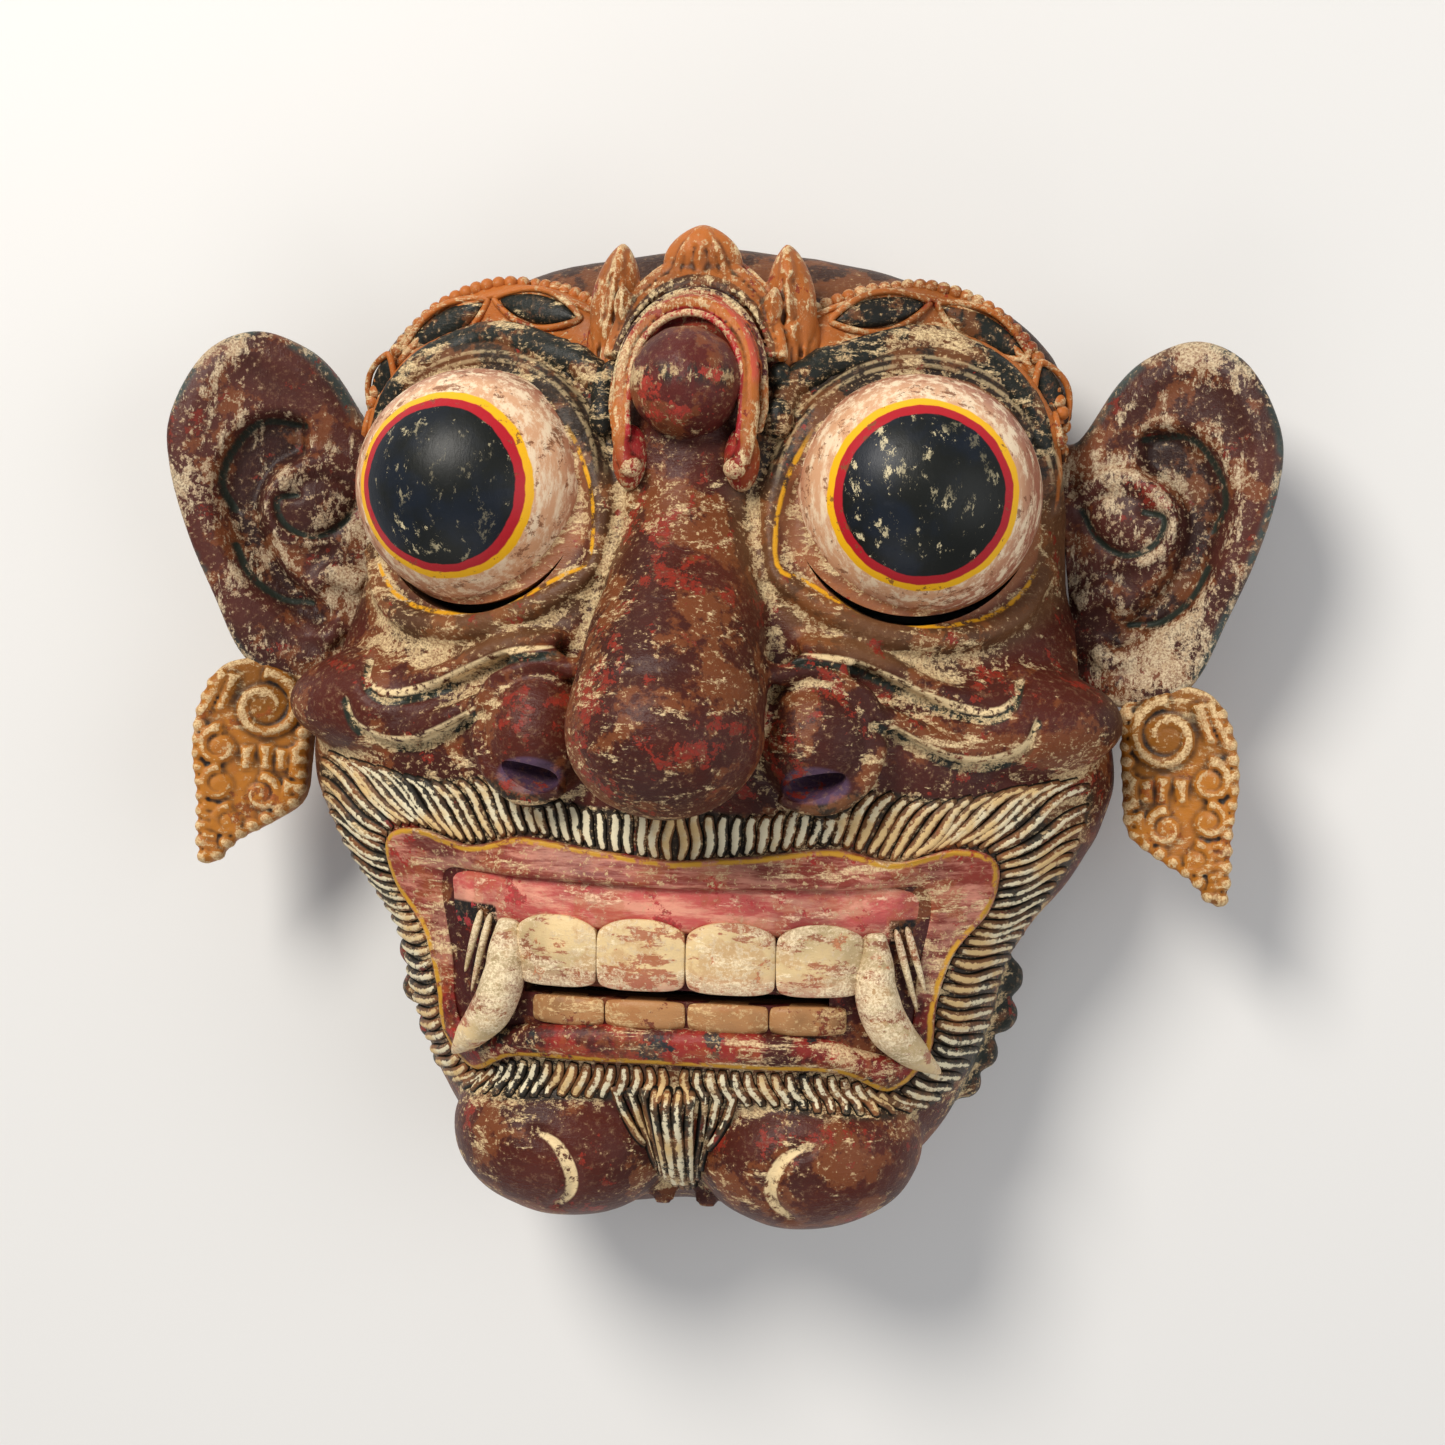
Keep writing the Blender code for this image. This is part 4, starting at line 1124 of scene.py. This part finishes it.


# Old paint on wood: red ground coat and pale gesso showing through, the hollows darkened with dirt and
# painted shade
def wornPaintGroup():
    tree = bpy.data.node_groups.new("wornPaint", "ShaderNodeTree")
    for way, kind, names in (("INPUT", "Color", ("Top", "Under", "Bare")), ("INPUT", "Vector", ("Stroke",)),
                             ("INPUT", "Float", ("Crest", "Peel", "Specks", "Fill", "Rub", "DirtAndShade")),
                             ("OUTPUT", "Color", ("Colour",)), ("OUTPUT", "Float", ("Worn", "Height"))):
        for name in names:
            tree.interface.new_socket(name, in_out=way, socket_type="NodeSocket" + kind)
    make = Nodes(tree)
    into = make.node("NodeGroupInput").outputs
    crest, specks = Value(make, into["Crest"]), Value(make, into["Specks"])
    broad = make.noise(30, 4, 0.55)
    blotch = make.noise(62, 6, 0.66, shift=0.3)
    ragged = make.noise(80, 6, 0.74, shift=0.9)
    brushed = make.noise(280, 5, 0.76, into["Stroke"], 0.2)
    grain = make.noise(620, 4, 0.74, shift=0.7)
    fine = make.noise(1700, 2, 0.65, shift=0.5)
    shade = make.mix(broad.step(0.40, 0.60), into["Top"], make.mix(0.45, into["Top"], "150c0a"))
    shade = make.mix(blotch.step(0.51, 0.57) * 0.65, shade, make.mix(0.55, into["Top"], "99592c"))
    under = make.mix(grain.step(0.40, 0.58), into["Under"], make.mix(0.45, into["Under"], "200c08"))
    shade = make.mix((ragged + into["Peel"]).step(0.575, 0.60) * 0.9, shade, under)
    hollow = (crest * -1.0).step(0.02, 0.60)
    amount = specks + hollow * into["Fill"] + crest.step(0.05, 0.60) * into["Rub"]
    amount = amount + (blotch - 0.5) * 0.40 + (broad - 0.5) * 0.25
    bare = (brushed + amount).step(0.575, 0.65).most((grain + amount).step(0.585, 0.65))
    bare = bare * (fine.step(0.36, 0.58) * 0.62 + 0.30)
    pale = make.mix(grain.step(0.46, 0.62), into["Bare"], make.mix(0.42, into["Bare"], "8a6038"))
    # The last coat darkens the hollows: dirt and painted shade together
    shade = make.coats(shade, (grain.step(0.50, 0.66) * 0.20, "a88360"), (bare, pale),
                       (hollow * into["DirtAndShade"], "1d140f"))
    height = brushed + brushed.step(0.54, 0.62) * 0.2 + grain * 0.6
    make.node("NodeGroupOutput", {"Colour": shade, "Worn": bare, "Height": height})
    return tree


wornPaint = wornPaintGroup()


class Paint(Nodes):
    def __init__(self, name):
        self.look = bpy.data.materials.new(name)
        self.look.use_nodes = True
        self.shader = self.look.node_tree.nodes["Principled BSDF"]
        super().__init__(self.look.node_tree)

    # The last wear amount sets how far the hollows darken, with dirt and painted shade together
    def worn(self, top, under, bare, crest=None, peel=0.0, specks=0.0, fill=0.0, rub=0.0, dirt=0.0,
             stroke=(0.3, 1.0, 0.5)):
        crest = self.value("crest") if crest is None else crest
        given = {"Top": top, "Under": under, "Bare": bare, "Crest": crest, "Peel": peel, "Specks": specks,
                 "Fill": fill, "Rub": rub, "DirtAndShade": dirt, "Stroke": stroke}
        return self.node("ShaderNodeGroup", node_tree=wornPaint, given=given).outputs

    def finish(self, colour, wornOut, height, smooth=0.44, rough=0.70, bump=0.45):
        span = self.node("ShaderNodeMapRange", {"Value": wornOut, "To Min": smooth, "To Max": rough})
        relief = self.node("ShaderNodeBump", {"Strength": bump, "Distance": 0.0007, "Height": height})
        self.feed(self.shader, {"Base Color": colour, "Roughness": span.outputs["Result"],
                                "Specular IOR Level": 0.22, "Normal": relief.outputs[0]})
        return self.look

    def aged(self, *paints, smooth=0.44, bump=0.45, **wear):
        out = self.worn(*paints, **wear)
        return self.finish(out["Colour"], out["Worn"], out["Height"], smooth, bump=bump)


def faceMaterial():
    make = Paint("facePaint")
    wobble = (make.noise(160, 3, 0.6, shift=0.9) - 0.5) * 2.6
    around, above, front, hairEdge, nostril = make.values("ring", "above", "front", "hair", "nostril")
    skull = (make.value("skull") + wobble).step(-0.5, 0.5)
    sideWall = front.step(36.0, 28.0)
    band = (make.value("band") + wobble * 0.5).step(-0.3, 0.3) * (sideWall * -1.0 + 1.0)
    socket = make.value("socket") + wobble * 0.35
    dark, other = [value.near(0.0, 1.1, 0.4) for value in make.values("wrinkleUpDark", "wrinkleLowDark")]
    shade = make.coats(
        "maroon", (around.step(46.0, 40.0), make.mix(above.step(56.0, 68.0), "644026", "32271e")),
        (skull, "brown"),
        (sideWall * above.step(20.0, 40.0), "brown"), (band, "orange"),
        (socket.step(-0.3, 0.3), make.mix(around.step(33.5, 30.8), "5c3022", "8a5638")),
        (hairEdge.step(-1.2, 0.3), "hair"), (make.value("curls").step(-2.0, 1.0), "green"),
        (make.value("lip").step(3.0, 5.0), "4a1713"), (nostril.step(0.0, 0.2), "5a4058"),
        (dark.most(other), "green"))
    nearHair = hairEdge.step(-7.0, 0.5) * 0.05 * front.step(22.0, 34.0)
    nearEye = around.step(48.0, 40.0) * above.step(66.0, 52.0) * 0.02
    lidTop = around.step(48.0, 42.0) * above.step(56.0, 66.0)
    specks = nearHair.most(nearEye) - 0.006 - lidTop * 0.035 - front.step(80.0, 92.0) * 0.012
    # The side term thins the pale specks on the right half: painted shade, as if lit from the left
    specks = specks - front.step(30.0, 18.0) * 0.03 - make.value("side").step(-30.0, 30.0) * 0.014
    specks = specks - skull * 0.07 - nostril.step(-0.3, 0.1)
    peel = front.step(74.0, 100.0) * 0.03 - 0.018 - skull * 0.2
    out = make.worn(shade, "red", "cream", peel=peel, specks=specks, fill=0.11, dirt=0.10)
    pale, low, comma = [line.step(-0.3, 0.3) for line in make.values("wrinkleUpPale", "wrinkleLowPale",
                                                                     "comma")]
    rings = around.near(32.0, 0.5, 0.25).most(around.near(34.1, 0.45, 0.25)) * (above.step(60.0, 72.0) * 0.4)
    pale = pale.most(low).most(comma).most(rings) * make.noise(380, 6, 0.74, shift=1.3).step(0.41, 0.52)
    inner = make.value("across").step(40.0, 30.0).most(above.step(45.0, 38.0))
    yellow = socket.near(-0.6, 0.5, 0.25) * make.noise(200, 5, 0.7, shift=1.9).step(0.42, 0.52)
    yellow = yellow * (above.step(78.0, 66.0) * inner)
    timber = make.mix(make.noise(70, 6, 0.62, (0.25, 1.0, 1.0), 5.5).step(0.38, 0.62), "wood", "55361f")
    bare = make.value("inside").step(0.0, 1.2)
    colour = make.coats(out["Colour"], (pale, "cream"), (yellow, "yellow"), (bare, timber))
    return make.finish(colour, bare.most(out["Worn"]), out["Height"])


def crownMaterial():
    make = Paint("crownPaint")
    arch = make.value("arch") + (make.noise(260, 4, 0.6, shift=2.9) - 0.5) * 1.2
    above = make.value("above")
    colour = make.mix(arch.step(14.2, 13.8), "orange", "a8262a")
    for middle, half, hue in ((16.7, 0.8, "b8503a"), (18.4, 0.7, "4a1a1c"), (20.1, 1.0, "54341f")):
        colour = make.mix(arch.near(middle, half, 0.2) * above.step(84.0, 88.0), colour, hue)
    colour = make.mix(above.step(73.0, 65.0) * 0.7, colour, "a83a2a")
    return make.aged(colour, "8a3020", "e0c99a", peel=-0.01, specks=-0.01, rub=0.11, dirt=0.8,
                     stroke=(1.0, 0.4, 0.6))


def jewelMaterial():
    make = Paint("jewelPaint")
    belt = make.value("above").near(86.5, 2.0, 2.5)
    flecks = make.noise(260, 6, 0.74, (1.0, 0.35, 0.6), 4.7)
    top = make.mix(belt * flecks.step(0.46, 0.52), "55211c", "1f2620")
    return make.aged(top, "a8392c", "cdb488", peel=-0.01, specks=belt * 0.12 - 0.015, stroke=(1.0, 0.35, 0.6))


def hairMaterial():
    make = Paint("hairPaint")
    crest, middle = make.values("crest", "middle")
    patch = make.noise(55, 6, 0.62, shift=2.2)
    breaks = make.noise(520, 5, 0.74, shift=3.2)
    top = make.mix(patch.step(0.42, 0.58), "332e24", "77502f")
    out = make.worn(top, "7d2c22", "cream", 0.0, -0.04)
    # The middle term adds cream under the nose: painted light where the nose's shadow falls
    high = (crest + (breaks - 0.5) * 0.60 + (patch - 0.5) * 0.22 + middle * 0.10).step(0.86, 0.93)
    colour = make.coats(out["Colour"], (crest.step(0.66, 0.34), "14120d"),
                        (high * 0.95, make.mix(patch.step(0.45, 0.60), "e0d4b2", "d2b27c")))
    return make.finish(colour, high, out["Height"], 0.5)


def lipMaterial():
    make = Paint("lipPaint")
    above, edge = make.values("above", "edge")
    upper = make.mix(make.noise(260, 6, 0.74, (0.12, 1.0, 0.5), 3.1).step(0.42, 0.60), "84352a", "c98570")
    lower = make.mix(make.noise(60, 6, 0.65, shift=6.1).step(0.45, 0.55), "8e2a22", "4a1c16")
    top = make.mix(above.step(-60.0, -66.0), upper, lower)
    dark = make.noise(75, 5, 0.7, shift=4.4).step(0.53, 0.57) * above.step(-66.0, -72.0)
    out = make.worn(make.mix(dark, top, "2a2a2b"), "a82c26", "dfc496", peel=-0.015, specks=0.02, fill=0.06,
                    rub=0.02, dirt=0.1, stroke=(0.12, 1.0, 0.5))
    line = (edge - 1.0 + (make.noise(260, 3, 0.6) - 0.5) * 1.2).near(0.0, 0.6, 0.3)
    line = line * make.noise(300, 6, 0.72, shift=2.7).step(0.38, 0.50)
    return make.finish(make.mix(line, out["Colour"], "bd8b2a"), out["Worn"], out["Height"], 0.42)


def teethMaterial():
    make = Paint("teethPaint")
    above, across = make.values("above", "across")
    streaks = make.noise(150, 6, 0.74, (0.3, 1.0, 0.6), 7.1)
    top = make.mix(above.step(-55.0, -62.0) * across.step(46.0, 42.0), "bone", "d3a184")
    red = (streaks + across.step(42.0, 46.0) * 0.02).step(0.535, 0.57)
    return make.aged(make.mix(red * 0.8, top, "9e4a34"), "c07850", "efdcb6", peel=-0.03, specks=0.05,
                     rub=0.05,
                     dirt=0.8, stroke=(0.35, 1.0, 0.5), smooth=0.42)


def gumMaterial():
    make = Paint("gumPaint")
    top = make.mix(make.noise(230, 7, 0.7, (0.2, 1.0, 0.6), 8.1).step(0.42, 0.60), "c05650", "de977f")
    top = make.mix(make.value("black").step(-0.4, 0.4), top, "14100e")
    return make.aged(top, "b53a3c", "e8c2a0", specks=-0.02, rub=0.02, dirt=0.2, smooth=0.40)


def eyeMaterial():
    make = Paint("eyePaint")
    wobble = (make.noise(170, 3, 0.5, shift=4.1) - 0.5) * 1.1
    ring = make.value("ring") + wobble
    grain = make.noise(330, 6, 0.74, (1, 0.30, 1), 5.2)
    fleck = make.noise(200, 6, 0.78, (0.6, 1, 1), 6.3).step(0.575, 0.615)
    black = make.mix(make.noise(50, 4, 0.6, shift=7.7).step(0.42, 0.62), "131512", "151b24")
    patch = make.noise(45, 5, 0.6, shift=9.9).step(0.42, 0.60) * 0.8 + 0.2
    scratch = make.noise(330, 7, 0.82, (0.75, 0.40, 1), 8.8).step(0.575, 0.61) * patch
    chips = make.noise(210, 6, 0.76, shift=9.4).step(0.60, 0.63) * ring.step(18.5, 19.5)
    colour = make.coats(
        "d2a27c", (grain.step(0.44, 0.60), "ead3b2"),
        (make.value("edge").step(24.0, 29.5) * grain.step(0.58, 0.46) * 0.75, "8c4034"),
        (fleck * 0.8, "7c4a2e"),
        ((make.value("depth") + wobble).step(3.0, -1.0), "7a4230"), (ring.step(22.8, 22.5), "eab01a"),
        (ring.step(21.2, 20.9), "ab1e28"), (ring.step(19.2, 18.9), make.mix(scratch, black, "c9bb94")),
        (chips * 0.85, "7a4a2c"))
    return make.finish(colour, fleck, grain * 0.5 - chips * 0.3, 0.40, 0.55, 0.35)


def earMaterial():
    make = Paint("earPaint")
    rim, bowl, line = make.values("rim", "bowl", "line")
    top = make.mix(rim.step(3.0, 1.0) * make.noise(40, 3, 0.6, shift=3.9).step(0.42, 0.52), "purple",
                   "404a46")
    # Painted shade: the bowl is darkened and its cream specks thinned, so the hollow reads deeper
    top = make.mix(bowl.step(0.0, 4.0) * 0.75, top, "281310")
    cloud = (make.noise(28, 5, 0.6, shift=6.6) - 0.46) * 0.46 - bowl.step(0.0, 3.0) * 0.03
    out = make.worn(top, "7c2c20", "d2be9c", peel=-0.02, specks=cloud, fill=0.05, rub=0.05, dirt=0.25,
                    stroke=(0.85, 0.30, 0.6))
    groovePaint = line.near(0.0, 0.75, 0.35) * make.noise(200, 5, 0.7, shift=1.1).step(0.36, 0.46)
    return make.finish(make.mix(groovePaint, out["Colour"], "262c25"), out["Worn"], out["Height"])


def dress(item, look, slot, *nodes):
    item.data.materials.clear()
    item.data.materials.append(look)
    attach(item, "root")
    if nodes:
        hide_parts(*nodes)


# Their hollow darkening is dirt and painted shade together
plain = {"smooth": 0.42, "bump": 0.40}
blackPaint = Paint("blackPaint").aged("black", "3c3a2c", "cream", peel=-0.05, specks=-0.01, rub=0.045,
                                      dirt=0.2,
                                      **plain)
gold = Paint("goldPaint").aged("orange", "8a3a1c", "e0c99a", specks=-0.01, rub=0.06, dirt=0.85, **plain)
lowerBone = Paint("lowerTeethPaint").aged("ad7d50", "7c3524", "dcbc88", peel=0.02, specks=0.03, rub=0.05,
                                          dirt=1.0,
                                          **plain)
earringGold = Paint("earringPaint").aged("ochre", "9a5222", "dfc392", specks=0.02, rub=0.20, dirt=1.0,
                                         **plain)
earLook = earMaterial()
dress(skin, faceMaterial(), "face", "mask_face")
for item, look in ((hairStrands, hairMaterial()), (lips, lipMaterial()), (teeth, teethMaterial()),
                   (lowerTeeth, lowerBone), (gum, gumMaterial()), (eyeballs, eyeMaterial()),
                   (browStripes, blackPaint), (diademLeaves, blackPaint), (diademEdge, gold),
                   (crown, crownMaterial()), (jewel, jewelMaterial())):
    dress(item, look, "face")
for item, ring, node in zip(ears, earrings, ("left_ear", "right_ear")):
    dress(item, earLook, "ear", node)
    dress(ring, earringGold, "ear")
print("stage: paint")

bpy.ops.mesh.primitive_plane_add(size=6, location=(0, 0, -0.0002))
floor = bpy.context.object
floor.name = "floor"
floorPaint = Paint("floorPaint")
floorPaint.feed(floorPaint.shader, {"Base Color": (0.70, 0.69, 0.67, 1), "Roughness": 0.8})
floor.data.materials.append(floorPaint.look)

view = {"yaw": 8.0, "rise": 3.0, "roll": 1.5, "distance": 0.600, "target": (0.0078, 0.0031, 0.060),
        "lens": 59.79}


def placeCamera():
    yaw, rise, turn = radians(view["yaw"]), radians(view["rise"]), radians(view["roll"])
    back = Vector((sin(yaw) * cos(rise), sin(rise), cos(yaw) * cos(rise)))
    right = (-back).cross(Vector((0, 1, 0))).normalized()
    up = right.cross(-back)
    across = right * cos(turn) + up * sin(turn)
    upward = up * cos(turn) - right * sin(turn)
    data = bpy.data.cameras.new("camera")
    data.lens = view["lens"]
    data.sensor_width = 36
    data.clip_start = 0.01
    item = bpy.data.objects.new("camera", data)
    bpy.context.scene.collection.objects.link(item)
    item.matrix_world = (Matrix.Translation(Vector(view["target"]) + back * view["distance"])
                         @ Matrix((across, upward, back)).transposed().to_4x4())
    bpy.context.scene.camera = item


placeCamera()


def areaLight(name, place, size, power, colour):
    data = bpy.data.lights.new(name, "AREA")
    data.shape = "DISK"
    data.size = size
    data.energy = power
    data.color = colour
    item = bpy.data.objects.new(name, data)
    bpy.context.scene.collection.objects.link(item)
    item.location = place
    aim = Vector((0, 0, 0.05)) - Vector(place)
    item.rotation_euler = aim.to_track_quat("-Z", "Y").to_euler()


lights = (("key", (-0.50, 0.80, 1.15), 0.6, 22, (1.0, 0.96, 0.90)),
          ("fill", (0.95, 0.0, 0.8), 1.1, 5, (0.97, 0.98, 1.0)),
          ("low", (-0.2, -1.0, 0.7), 1.0, 3, (1.0, 0.98, 0.95)))
for light in lights:
    areaLight(*light)
world = bpy.data.worlds.new("studio")
world.use_nodes = True
world.node_tree.nodes["Background"].inputs["Color"].default_value = (0.9, 0.93, 1.0, 1)
world.node_tree.nodes["Background"].inputs["Strength"].default_value = 0.30
bpy.context.scene.world = world
bpy.context.scene.view_settings.view_transform = "Standard"

print("stage: finish")
